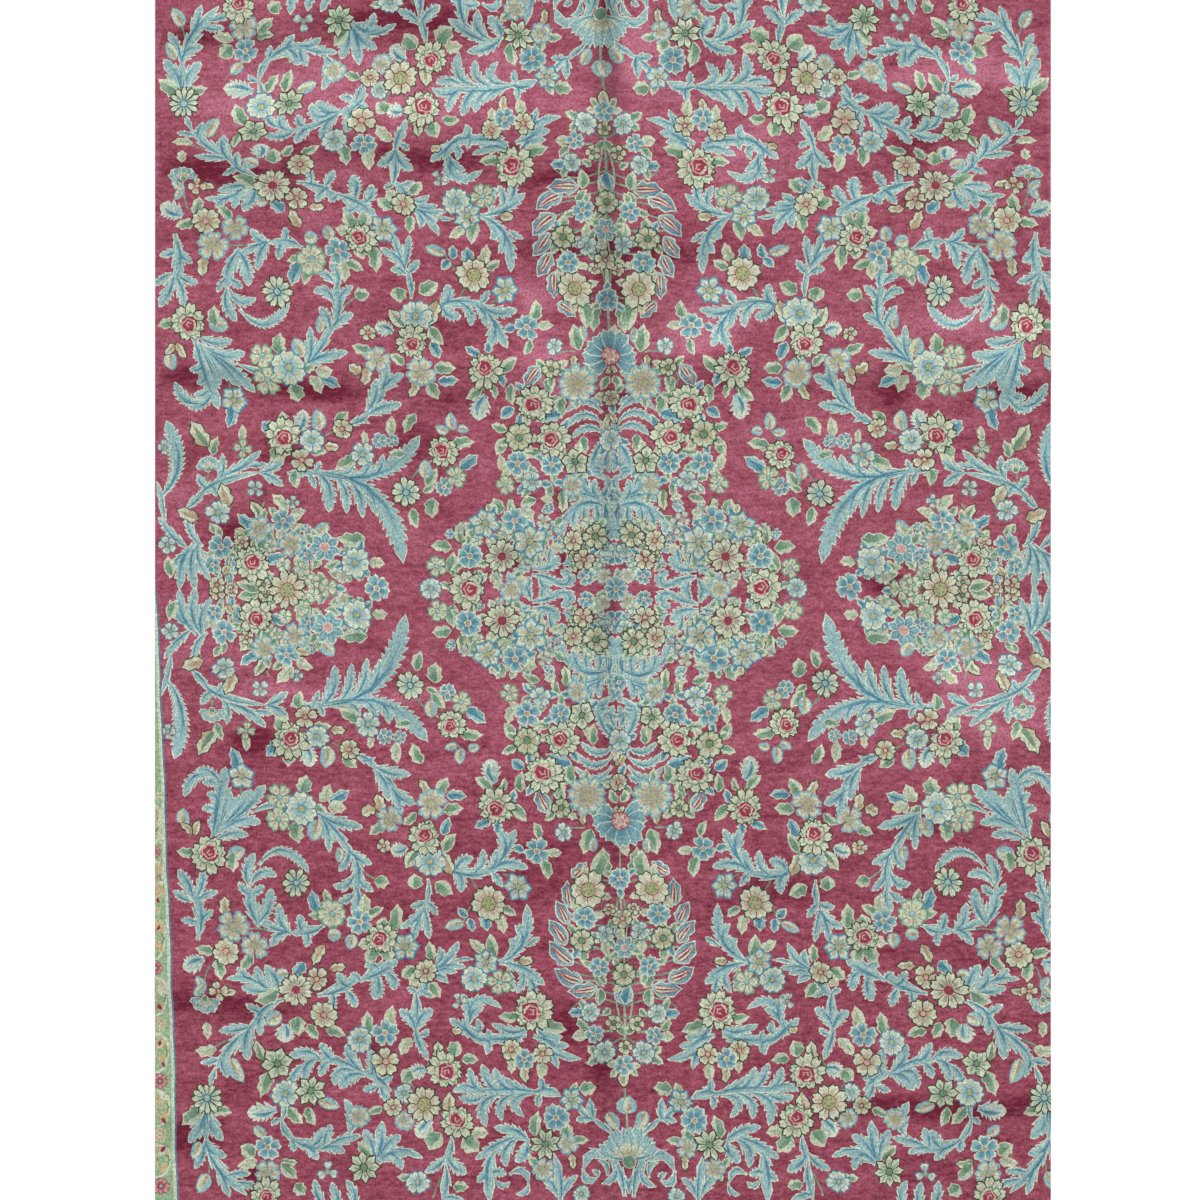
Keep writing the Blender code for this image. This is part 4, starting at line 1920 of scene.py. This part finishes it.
def fold_height(x, y):
    """Height of the underside over the floor. The solid's columns lean and its rows wander, so a place is
    first taken back to its own column and row; where folds cross, a soft maximum takes the taller one."""
    column, row = x, y
    for _ in range(FOLD_ROUNDS):
        inner_x = 1.0 - (np.abs(column) * 2.0 / WIDTH) ** 2
        inner_y = 1.0 - (np.abs(row) * 2.0 / LENGTH) ** 4
        lean = CREASE_FOOT_X + CREASE_LEAN * (row + LENGTH / 2.0)
        wander = WANDER * inner_y * np.sin(WANDER_WAVES * 2.0 * np.pi * column / WIDTH + WANDER_PHASE)
        column, row = x - lean * inner_x * inner_y, y - wander
    along_crease = smooth_step((row - CREASE_LOW_END) / CREASE_FADE)
    total = (CREASE_HEIGHT * along_crease * raised_cosine(column, CREASE_HALF_WIDTH)) ** 3
    for ripple in RIPPLES:
        starts = smooth_step((column - ripple.from_x) / END_FADE)
        stops = smooth_step((ripple.to_x - column) / END_FADE)
        across = raised_cosine(row - ripple.centre_y, ripple.half_width)
        total = total + (ripple.height * starts * stops * across) ** 3
    return np.cbrt(total)


def pile_height(x, y, sizes):
    """The pile's surface: the folds, the thickness, and a quarter-round worn rim at the rug's outline."""
    away = np.minimum(HIGH[0] - np.abs(x), HIGH[1] - np.abs(y))
    drop = sizes.rim - np.clip(away, 0.0, sizes.rim)
    rounded = np.sqrt(np.maximum(sizes.rim ** 2 - drop ** 2, 0.0))
    return fold_height(x, y) + sizes.thickness - (sizes.rim - rounded)


def surface_normals(height, x, y):
    """Unit normals of z = height(x, y), from its slopes over a small step either way."""
    slope_x = (height(x + SLOPE_STEP, y) - height(x - SLOPE_STEP, y)) / (2 * SLOPE_STEP)
    slope_y = (height(x, y + SLOPE_STEP) - height(x, y - SLOPE_STEP)) / (2 * SLOPE_STEP)
    normals = np.stack([-slope_x, -slope_y, np.ones_like(x)], axis=1)
    return normals / np.linalg.norm(normals, axis=1, keepdims=True)


def nap_shade(x, y):
    """How much darker (below 0) or brighter the ground is painted, as painted shade and sheen of the nap and
    the folds: soft patches, cross-wise drawn out.
    """
    total = -NEAR_PART_SHADE * smooth_step((NEAR_PART - y) / NEAR_PART_FADE)
    for row in chart(NAP_SHADE_PATCHES):
        sway = NAP_SHADE_SWAY * row.half_y * np.sin(x * NAP_SHADE_SWAY_WAVES + row.x * NAP_SHADE_SWAY_PHASE)
        away = ((x - row.x) / row.half_x) ** 2 + ((y - row.y - sway) / row.half_y) ** 2
        total = total + NAP_SHADE_STRENGTH * row.shade * np.exp(-NAP_SHADE_FADE * away ** NAP_SHADE_BELL)
    return np.clip(total, -1.0, 1.0)


# ---------------------------------------------------------------- shader words


class Signal:
    """A value in a shader. Arithmetic on signals adds the Math nodes that work it out."""

    def __init__(self, recipe, socket):
        self.recipe = recipe
        self.socket = socket

    def _math(self, operation, first, second):
        return self.recipe.node("ShaderNodeMath", {"operation": operation}, {0: first, 1: second})

    def __add__(self, other):
        return self._math("ADD", self, other)

    def __radd__(self, other):
        return self._math("ADD", other, self)

    def __sub__(self, other):
        return self._math("SUBTRACT", self, other)

    def __rsub__(self, other):
        return self._math("SUBTRACT", other, self)

    def __mul__(self, other):
        return self._math("MULTIPLY", self, other)

    def __rmul__(self, other):
        return self._math("MULTIPLY", other, self)

    def clamp(self):
        return self.recipe.node("ShaderNodeClamp", {}, {"Value": self})


class Recipe:
    """A material whose nodes are added one by one."""

    def __init__(self, name):
        self.material = bpy.data.materials.new(name)
        self.material.use_nodes = True
        self.tree = self.material.node_tree

    def give(self, node, sockets):
        """Links or sets a node's inputs."""
        for name, value in sockets.items():
            if isinstance(value, Signal):
                self.tree.links.new(value.socket, node.inputs[name])
            else:
                node.inputs[name].default_value = value

    def node(self, kind, settings, sockets, output=0):
        """Any node: its settings first, then the values or links of its inputs. Gives one of its outputs."""
        node = self.tree.nodes.new(kind)
        for name, value in settings.items():
            setattr(node, name, value)
        self.give(node, sockets)
        return Signal(self, node.outputs[output])

    def place(self, stretch=(1.0, 1.0, 1.0)):
        """Where on the object, in metres, drawn out by a scale to each axis."""
        where = self.node("ShaderNodeTexCoord", {}, {}, "Object")
        return self.node("ShaderNodeMapping", {}, {"Vector": where, "Scale": stretch})

    def noise(self, scale, detail, rough, stretch):
        return self.node("ShaderNodeTexNoise", {}, {
            "Vector": self.place(stretch), "Scale": scale, "Detail": detail, "Roughness": rough,
        }, "Fac")

    def mix(self, factor, first, second):
        """Two colours mixed."""
        return self.node("ShaderNodeMix", {"data_type": "RGBA"}, {0: factor, 6: first, 7: second}, 2)

    def dim(self, colour, share):
        """A colour made lighter or darker by a share."""
        return self.node("ShaderNodeVectorMath", {"operation": "SCALE"}, {0: colour, "Scale": share})

    def attribute(self, name, output="Color"):
        settings = {"attribute_type": "GEOMETRY", "attribute_name": name}
        return self.node("ShaderNodeAttribute", settings, {}, output)

    def bump(self, strength, distance, height):
        sockets = {"Strength": strength, "Distance": distance, "Height": height}
        return self.node("ShaderNodeBump", {}, sockets)

    def feed(self, sockets):
        """Links or sets the shader's own sockets."""
        self.give(self.tree.nodes["Principled BSDF"], sockets)


def rgba(screen_colour):
    return (*(float(part) for part in linear(screen_colour)), 1.0)


# The studio's light brightens the floor to white, so the wools are dimmed by as much.
LIGHT_LEVEL = 1.25

# The pile's noises: their scale to a knot or a metre, and how much each adds to the grain and to the nap's
# painted shade and sheen.
PILE_NOISES = """
name per scale detail rough across along up grain nap
knots knot 0.5 2 0.6 1 0.85 0.3 1.8 0
fibre knot 1.5 1 0.5 1 0.35 0.3 0.6 0
lots metre 6 2 0.6 0.25 3.2 1 0.16 0
mottle metre 14 4 0.62 0.75 1.5 1 0 1.5
streaks metre 9 4 0.6 0.35 2.6 1 0 1.3
speckle metre 75 3 0.65 0.7 1.5 1 0 2.6
sway metre 3 2 0.5 1 1 1 0 0
"""
NAP_SHADE_EVEN = 0.1  # how much of a patch of painted nap shade shows evenly, and how much with the mottle
NAP_SHADE_MOTTLED = 1.8
WOOL_LEVEL = 0.985
WOOL_NAP_SHADE = 0.17  # how much the nap's painted shade and sheen darkens or brightens the design's wools
TUFT_KNOTS = 0.6
TUFT_FIBRE = 0.4
CREASE_SHADE_X = 0.011  # the painted shade that lies along the centre crease
CREASE_SHADE_HALF = 0.044
CREASE_SHADE_SWAY = 0.035
CREASE_SHADE_MIDDLE = 0.84  # how strong the crease's shade is at the rug's middle
CREASE_SHADE_SLOPE = 0.18  # how much stronger it grows with each metre towards the far end
CREASE_SHADE_MOTTLED = 0.9
CREASE_SHADE_BARE = 0.12

# The back: waves to a knot, and how the cotton shows between the knot loops.
LOOP_WAVES = 0.314
ROW_DISTORTION = 0.6
COLUMN_DISTORTION = 0.4
FUZZ_SCALE = 700.0
FUZZ_SHADE = 0.3
FUZZ_HEIGHT = 0.2
COTTON_BELOW = 0.55
COTTON_SHARE = 0.7
BACK_LEVEL = 0.78


def pile_material(sizes, colours):
    """Knotted wool in the chart's colours, mottled knot by knot, streaked by the fibre, banded across where a
    new lot of yarn began, and painted darker or brighter on the ground, as painted shade and sheen, where the
    nap turns, with painted shade along the centre crease."""
    wool = Recipe("knotted_pile")
    spans = {"knot": sizes.knot, "metre": 1.0}
    rows = chart(PILE_NOISES)
    noises = {}
    for row in rows:
        stretch = (row.across, row.along, row.up)
        noises[row.name] = wool.noise(row.scale / spans[row.per], row.detail, row.rough, stretch)
    mottle = noises["mottle"]
    grain = sum(((noises[row.name] - 0.5) * row.grain for row in rows if row.grain), start=1.0)
    # Painted shade and sheen: the nap's patches, mottled, turn the ground towards its painted-shade and
    # painted-sheen colours and dim or brighten the design's wools.
    patches = wool.attribute("nap", "Fac") * (NAP_SHADE_EVEN + mottle * NAP_SHADE_MOTTLED)
    nap = sum(((noises[row.name] - 0.5) * row.nap for row in rows if row.nap), start=patches)
    ground = wool.mix((nap * -1.0).clamp(), rgba(colours.ground), rgba(colours.ground_painted_shade))
    ground = wool.mix(nap.clamp(), ground, rgba(colours.ground_painted_sheen))
    wool_and_painted_shade = wool.dim(wool.attribute("wool"), WOOL_LEVEL + nap * WOOL_NAP_SHADE)
    wool_and_painted_shade = wool.mix(wool.attribute("ground", "Fac"), wool_and_painted_shade, ground)
    # Painted shade along the centre crease, over the ground and the design alike, mottled, and stronger
    # towards the far end.
    across, along = (wool.node("ShaderNodeSeparateXYZ", {}, {0: wool.place()}, axis) for axis in "XY")
    away = (across - CREASE_SHADE_X + (noises["sway"] - 0.5) * CREASE_SHADE_SWAY) * (1.0 / CREASE_SHADE_HALF)
    painted_crease_shade = (1.0 - away * away).clamp() * (along * CREASE_SHADE_SLOPE + CREASE_SHADE_MIDDLE)
    wool_and_painted_shade = wool.dim(wool_and_painted_shade, 1.0 - painted_crease_shade * painted_crease_shade * (mottle * CREASE_SHADE_MOTTLED - CREASE_SHADE_BARE))
    wool.feed({
        "Base Color": wool.dim(wool_and_painted_shade, grain * (1.0 / LIGHT_LEVEL)),
        "Roughness": 0.86,
        "Sheen Weight": 0.12,
        "Sheen Roughness": 0.45,
        "Specular IOR Level": 0.18,
        "Normal": wool.bump(0.35, 0.0008, noises["knots"] * TUFT_KNOTS + noises["fibre"] * TUFT_FIBRE),
    })
    return wool.material


def back_material(sizes, colours):
    """The woven back: rows of knot loops between the wefts, the design showing through paler."""
    weave = Recipe("woven_back")
    scale = LOOP_WAVES / sizes.knot
    rows, threads = (
        weave.node("ShaderNodeTexWave", {"bands_direction": direction}, {
            "Vector": weave.place(), "Scale": scale, "Distortion": distortion, "Detail": 1.0,
        }, "Fac")
        for direction, distortion in (("Y", ROW_DISTORTION), ("X", COLUMN_DISTORTION))
    )
    loops = rows * threads
    fuzz = weave.noise(FUZZ_SCALE, 2.0, 0.5, (1.0, 1.0, 1.0))
    cotton_share = (COTTON_BELOW - loops).clamp() * COTTON_SHARE
    colour = weave.mix(cotton_share, weave.attribute("wool"), rgba(colours.cotton))
    weave.feed({
        "Base Color": weave.dim(colour, (BACK_LEVEL + (fuzz - 0.5) * FUZZ_SHADE) * (1.0 / LIGHT_LEVEL)),
        "Roughness": 0.92,
        "Specular IOR Level": 0.15,
        "Normal": weave.bump(0.5, 0.0006, loops + fuzz * FUZZ_HEIGHT),
    })
    return weave.material


# ---------------------------------------------------------------- meshes

QUAD = ([0, 1, 2], [0, 2, 3])
FOUNDATION_FOLD = 0.7  # where the foundation begins on a side wall laid flat, in thicknesses
MARGIN = 1.5  # the bake's margin round a tile for its side walls, in thicknesses
BACK_SPACING = 3  # the back's ground points stand so much wider
BACK_NEAR = 0.5  # how near a line a point of the back's outlines is dropped, in squares
BACK_POINTS = 8  # outlines of so few points are left off the back
RIM_STEPS = (0.3, 1.0)  # the pile's lines along its outline, in rims


def make_piece(name, points, faces, normals, light, ground, nap, layout, material):
    """A piece from whole arrays. faces are triangles; light and ground run corner by corner."""
    mesh = bpy.data.meshes.new(name)
    mesh.vertices.add(len(points))
    mesh.vertices.foreach_set("co", points.astype(np.float32).ravel())
    mesh.loops.add(faces.size)
    mesh.loops.foreach_set("vertex_index", faces.astype(np.int32).ravel())
    mesh.polygons.add(len(faces))
    mesh.polygons.foreach_set("loop_start", np.arange(0, faces.size, 3, dtype=np.int32))
    mesh.update(calc_edges=True)
    mesh.validate()
    light = np.concatenate([light, np.ones((len(light), 1))], axis=1)
    # The nap attribute holds the painted shade and sheen of the nap's patches, point by point.
    for attribute, kind, domain, field, values in (
        ("wool", "FLOAT_COLOR", "CORNER", "color", light),
        ("ground", "FLOAT", "CORNER", "value", ground),
        ("nap", "FLOAT", "POINT", "value", nap),
    ):
        data = mesh.attributes.new(attribute, kind, domain).data
        data.foreach_set(field, values.astype(np.float32).ravel())
    bake = mesh.uv_layers.new(name="OFBake").data
    bake.foreach_set("uv", layout[faces.ravel()].astype(np.float32).ravel())
    mesh.polygons.foreach_set("use_smooth", np.ones(len(faces), dtype=bool))
    mesh.normals_split_custom_set_from_vertices(normals.astype(np.float32))
    mesh.materials.append(material)
    piece = bpy.data.objects.new(name, mesh)
    bpy.context.scene.collection.objects.link(piece)
    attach(piece, BODY)
    return piece


def plan_layout(x, y, column, row, margin):
    """A tile's place on its own square of the bake, with a margin for its side walls."""
    wide, long = WIDTH / TILES_ACROSS, LENGTH / TILES_ALONG
    left, low = LOW[0] + wide * column, LOW[1] + long * row
    u = (x - left + margin) / (wide + 2 * margin)
    v = (y - low + margin) / (long + 2 * margin)
    return np.stack([u, v], axis=1)


def outline_edges(places, faces):
    """Edges of triangles on the rug's outline, a batch at a time: the triangles, the edge's two corners in
    them, and the way out of the rug."""
    for axis, limit in SIDES:
        on_side = np.abs(places[:, axis] - limit) < EDGE
        outward = np.zeros(2)
        outward[axis] = np.sign(limit)
        for corner in range(3):
            ends = [corner, (corner + 1) % 3]
            edge = on_side[faces[:, ends]].all(axis=1)
            if edge.any():
                yield edge, ends, outward


def band_corners(where, high, low):
    """Upright quads over edges, between two heights: where (n, 2, 2) gives corners (n, 4, 3)."""
    upper = np.concatenate([where, high[..., None]], axis=2)
    lower = np.concatenate([where, low[..., None]], axis=2)
    return np.stack([upper[:, 0], lower[:, 0], lower[:, 1], upper[:, 1]], axis=1)


class RUG_OT_back(bpy.types.Operator):
    """Make the rug's woven back: a flat map of the plainer shapes, facing down, on the folds' height."""

    bl_idname = "rug.make_back"
    bl_label = "Woven back"

    def execute(self, context):
        sizes, colours = context.scene.rug_sizes, context.scene.rug_colours
        woven = woven_motifs(sizes)
        near = BACK_NEAR * sizes.square
        kept = [
            (shape._replace(points=plainer(shape.points, near), first=body.second, second=body.second), shade)
            for (shape, shade), (body, _) in zip(woven, woven[1:])
            if shape.start < 0 and len(shape.points) > BACK_POINTS
        ]
        kept.sort(key=lambda pair: pair[0].layer)
        lines = guard_stripe(sizes)[:len(chart(GUARD_LINES))]
        plan = FlatMap(kept + lines, BACK_SPACING * sizes.mesh, ())
        dyes = Dyes(plan.woven, colours)
        material = back_material(sizes, colours)
        for name, column, row in TILES:
            owner, places, faces = plan.tile(column, row)
            points = np.column_stack([places, fold_height(*places.T)])
            light = dyes.at(owner, places[faces])[:, ::-1].reshape(-1, 3)
            normals = -surface_normals(fold_height, *places.T)
            layout = plan_layout(*places.T, column, row, 0.0)
            make_piece(
                "back_" + name, points, faces[:, ::-1], normals, light, np.zeros(len(light)),
                np.zeros(len(points)), layout, material,
            )
        return {"FINISHED"}


class RUG_OT_pile(bpy.types.Operator):
    """Make the rug's knotted pile: the charted design cut into one flat map, lifted onto the folds, with a
    worn rim and side walls that show the pile over the foundation."""

    bl_idname = "rug.make_pile"
    bl_label = "Knotted pile"

    def execute(self, context):
        sizes, colours = context.scene.rug_sizes, context.scene.rug_colours
        woven = sorted(woven_motifs(sizes), key=lambda pair: pair[0].layer) + guard_stripe(sizes)
        plan = FlatMap(woven, sizes.mesh, [step * sizes.rim for step in RIM_STEPS])
        dyes = Dyes(plan.woven, colours)
        material = pile_material(sizes, colours)
        cotton = linear(colours.cotton)
        for name, column, row in TILES:
            parts = self.tile_parts(plan, dyes, column, row, sizes, cotton)
            piece = make_piece("pile_" + name, *parts, material)
            if (column, row) == (0, 0):
                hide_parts(NODE)
        return {"FINISHED"}

    def tile_parts(self, plan, dyes, column, row, sizes, cotton):
        """Arrays of one tile: its top, then a wall of two bands under its edges on the rug's outline."""
        owner, places, faces = plan.tile(column, row)
        light = dyes.at(owner, places[faces])
        ground = np.repeat((owner == 0)[:, None], 3, axis=1).astype(float)
        margin = MARGIN * sizes.thickness

        def height(x, y):
            return pile_height(x, y, sizes)

        points = [np.column_stack([places, height(*places.T)])]
        normals = [surface_normals(height, *places.T)]
        layout = [plan_layout(*places.T, column, row, margin)]
        triangles = [faces]
        lights = [light.reshape(-1, 3)]
        grounds = [ground.ravel()]
        count = len(places)
        fold = FOUNDATION_FOLD * sizes.thickness
        for edge, ends, outward in outline_edges(places, faces):
            where = places[faces[edge][:, ends]]
            pile_light = light[edge][:, ends]
            under = fold_height(where[..., 0], where[..., 1])
            rim = under + sizes.thickness - sizes.rim
            foundation = under + sizes.foundation
            quads = len(where)
            bare = np.broadcast_to(cotton, pile_light.shape)
            for high, low, wool, marked, near, far in (
                (rim, foundation, pile_light, ground[edge, 0], 0.0, fold),
                (foundation, under, bare, np.zeros(quads), fold, sizes.thickness),
            ):
                corners = band_corners(where, high, low)
                open_out = corners[..., :2] + np.array([near, far, far, near])[:, None] * outward
                base = count + 4 * np.arange(quads)[:, None]
                points.append(corners.reshape(-1, 3))
                normals.append(np.tile([*outward, 0.0], (4 * quads, 1)))
                layout.append(plan_layout(*open_out.reshape(-1, 2).T, column, row, margin))
                triangles += [base + order for order in QUAD]
                lights += [wool[:, [0, 0, 1, 1]][:, order].reshape(-1, 3) for order in QUAD]
                grounds += [np.repeat(marked, 3) for _ in QUAD]
                count += 4 * quads
        points = np.concatenate(points)
        parts = [np.concatenate(part) for part in (triangles, normals, lights, grounds)]
        # The last array but one is the painted shade and sheen of the nap, point by point.
        return points, *parts, nap_shade(points[:, 0], points[:, 1]), np.concatenate(layout)


# The stage. The camera hangs over the middle of the picture, whose pixels are squares of the chart.
FLOOR_REACH = 20.0
FLOOR_GREY = (0.93, 0.93, 0.93, 1.0)
SKY_LIGHT = 0.62
SUN_LIGHT = 3.0
SUN_SOFTNESS = math.radians(14.0)
SUN_TILT = (math.radians(-52.0), math.radians(10.0), 0.0)
LENS = 85.0
SENSOR = 36.0
PICTURE = 1200
CAMERA_SQUARE = 0.0021652
CAMERA_ASIDE = -3
CAMERA_FOCUS = 0.6  # the height at which a square fills a pixel, as a share of the rug's


class RUG_OT_stage(bpy.types.Operator):
    """Make the pale floor, the soft light and the camera straight above the rug."""

    bl_idname = "rug.make_stage"
    bl_label = "Stage"

    def execute(self, context):
        scene = context.scene
        ways = ((-1, -1), (1, -1), (1, 1), (-1, 1))
        corners = [(side * FLOOR_REACH, end * FLOOR_REACH, 0) for side, end in ways]
        mesh = bpy.data.meshes.new("floor")
        mesh.from_pydata(corners, [], [(0, 1, 2, 3)])
        floor = bpy.data.objects.new("floor", mesh)
        paint = Recipe("pale_floor")
        paint.feed({"Base Color": FLOOR_GREY, "Roughness": 0.9, "Specular IOR Level": 0.1})
        mesh.materials.append(paint.material)

        world = bpy.data.worlds.new("studio")
        world.use_nodes = True
        world.node_tree.nodes["Background"].inputs["Color"].default_value = (1.0, 1.0, 1.0, 1.0)
        world.node_tree.nodes["Background"].inputs["Strength"].default_value = SKY_LIGHT
        scene.world = world
        lamp = bpy.data.lights.new("window", "SUN")
        lamp.energy = SUN_LIGHT
        lamp.angle = SUN_SOFTNESS
        sun = bpy.data.objects.new("window", lamp)
        sun.rotation_euler = SUN_TILT

        lens = bpy.data.cameras.new("camera")
        lens.lens = LENS
        lens.sensor_width = SENSOR
        camera = bpy.data.objects.new("camera", lens)
        over = PICTURE * CAMERA_SQUARE * LENS / SENSOR + HIGH[2] * CAMERA_FOCUS
        camera.location = (CAMERA_ASIDE * CAMERA_SQUARE, 0.0, over)
        for thing in (floor, sun, camera):
            scene.collection.objects.link(thing)
        floor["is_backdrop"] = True
        scene.camera = camera
        scene.view_settings.view_transform = "Standard"
        return {"FINISHED"}


class RUG_PT_panel(bpy.types.Panel):
    """The rug's sizes, colours and makers."""

    bl_idname = "RUG_PT_panel"
    bl_label = "Persian rug"
    bl_space_type = "VIEW_3D"
    bl_region_type = "UI"
    bl_category = "Persian rug"

    def draw(self, context):
        layout = self.layout
        for group in (context.scene.rug_sizes, context.scene.rug_colours):
            box = layout.box()
            for name in group.bl_rna.properties.keys():
                if name not in ("rna_type", "name"):
                    box.prop(group, name)
        for operator in (RUG_OT_back, RUG_OT_pile, RUG_OT_stage):
            layout.operator(operator.bl_idname)


CLASSES = (RugSizes, RugColours, RUG_OT_back, RUG_OT_pile, RUG_OT_stage, RUG_PT_panel)


def register():
    for entry in CLASSES:
        bpy.utils.register_class(entry)
    bpy.types.Scene.rug_sizes = PointerProperty(type=RugSizes)
    bpy.types.Scene.rug_colours = PointerProperty(type=RugColours)


def unregister():
    del bpy.types.Scene.rug_colours
    del bpy.types.Scene.rug_sizes
    for entry in reversed(CLASSES):
        bpy.utils.unregister_class(entry)


def main():
    register()
    bpy.ops.rug.make_back()
    bpy.ops.rug.make_pile()
    bpy.ops.rug.make_stage()
    sizes = {"cad": CAD_BOX, "visual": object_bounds()}
    {name: np.array(box).tolist() for name, box in sizes.items()}


if __name__ == "__main__":
    main()
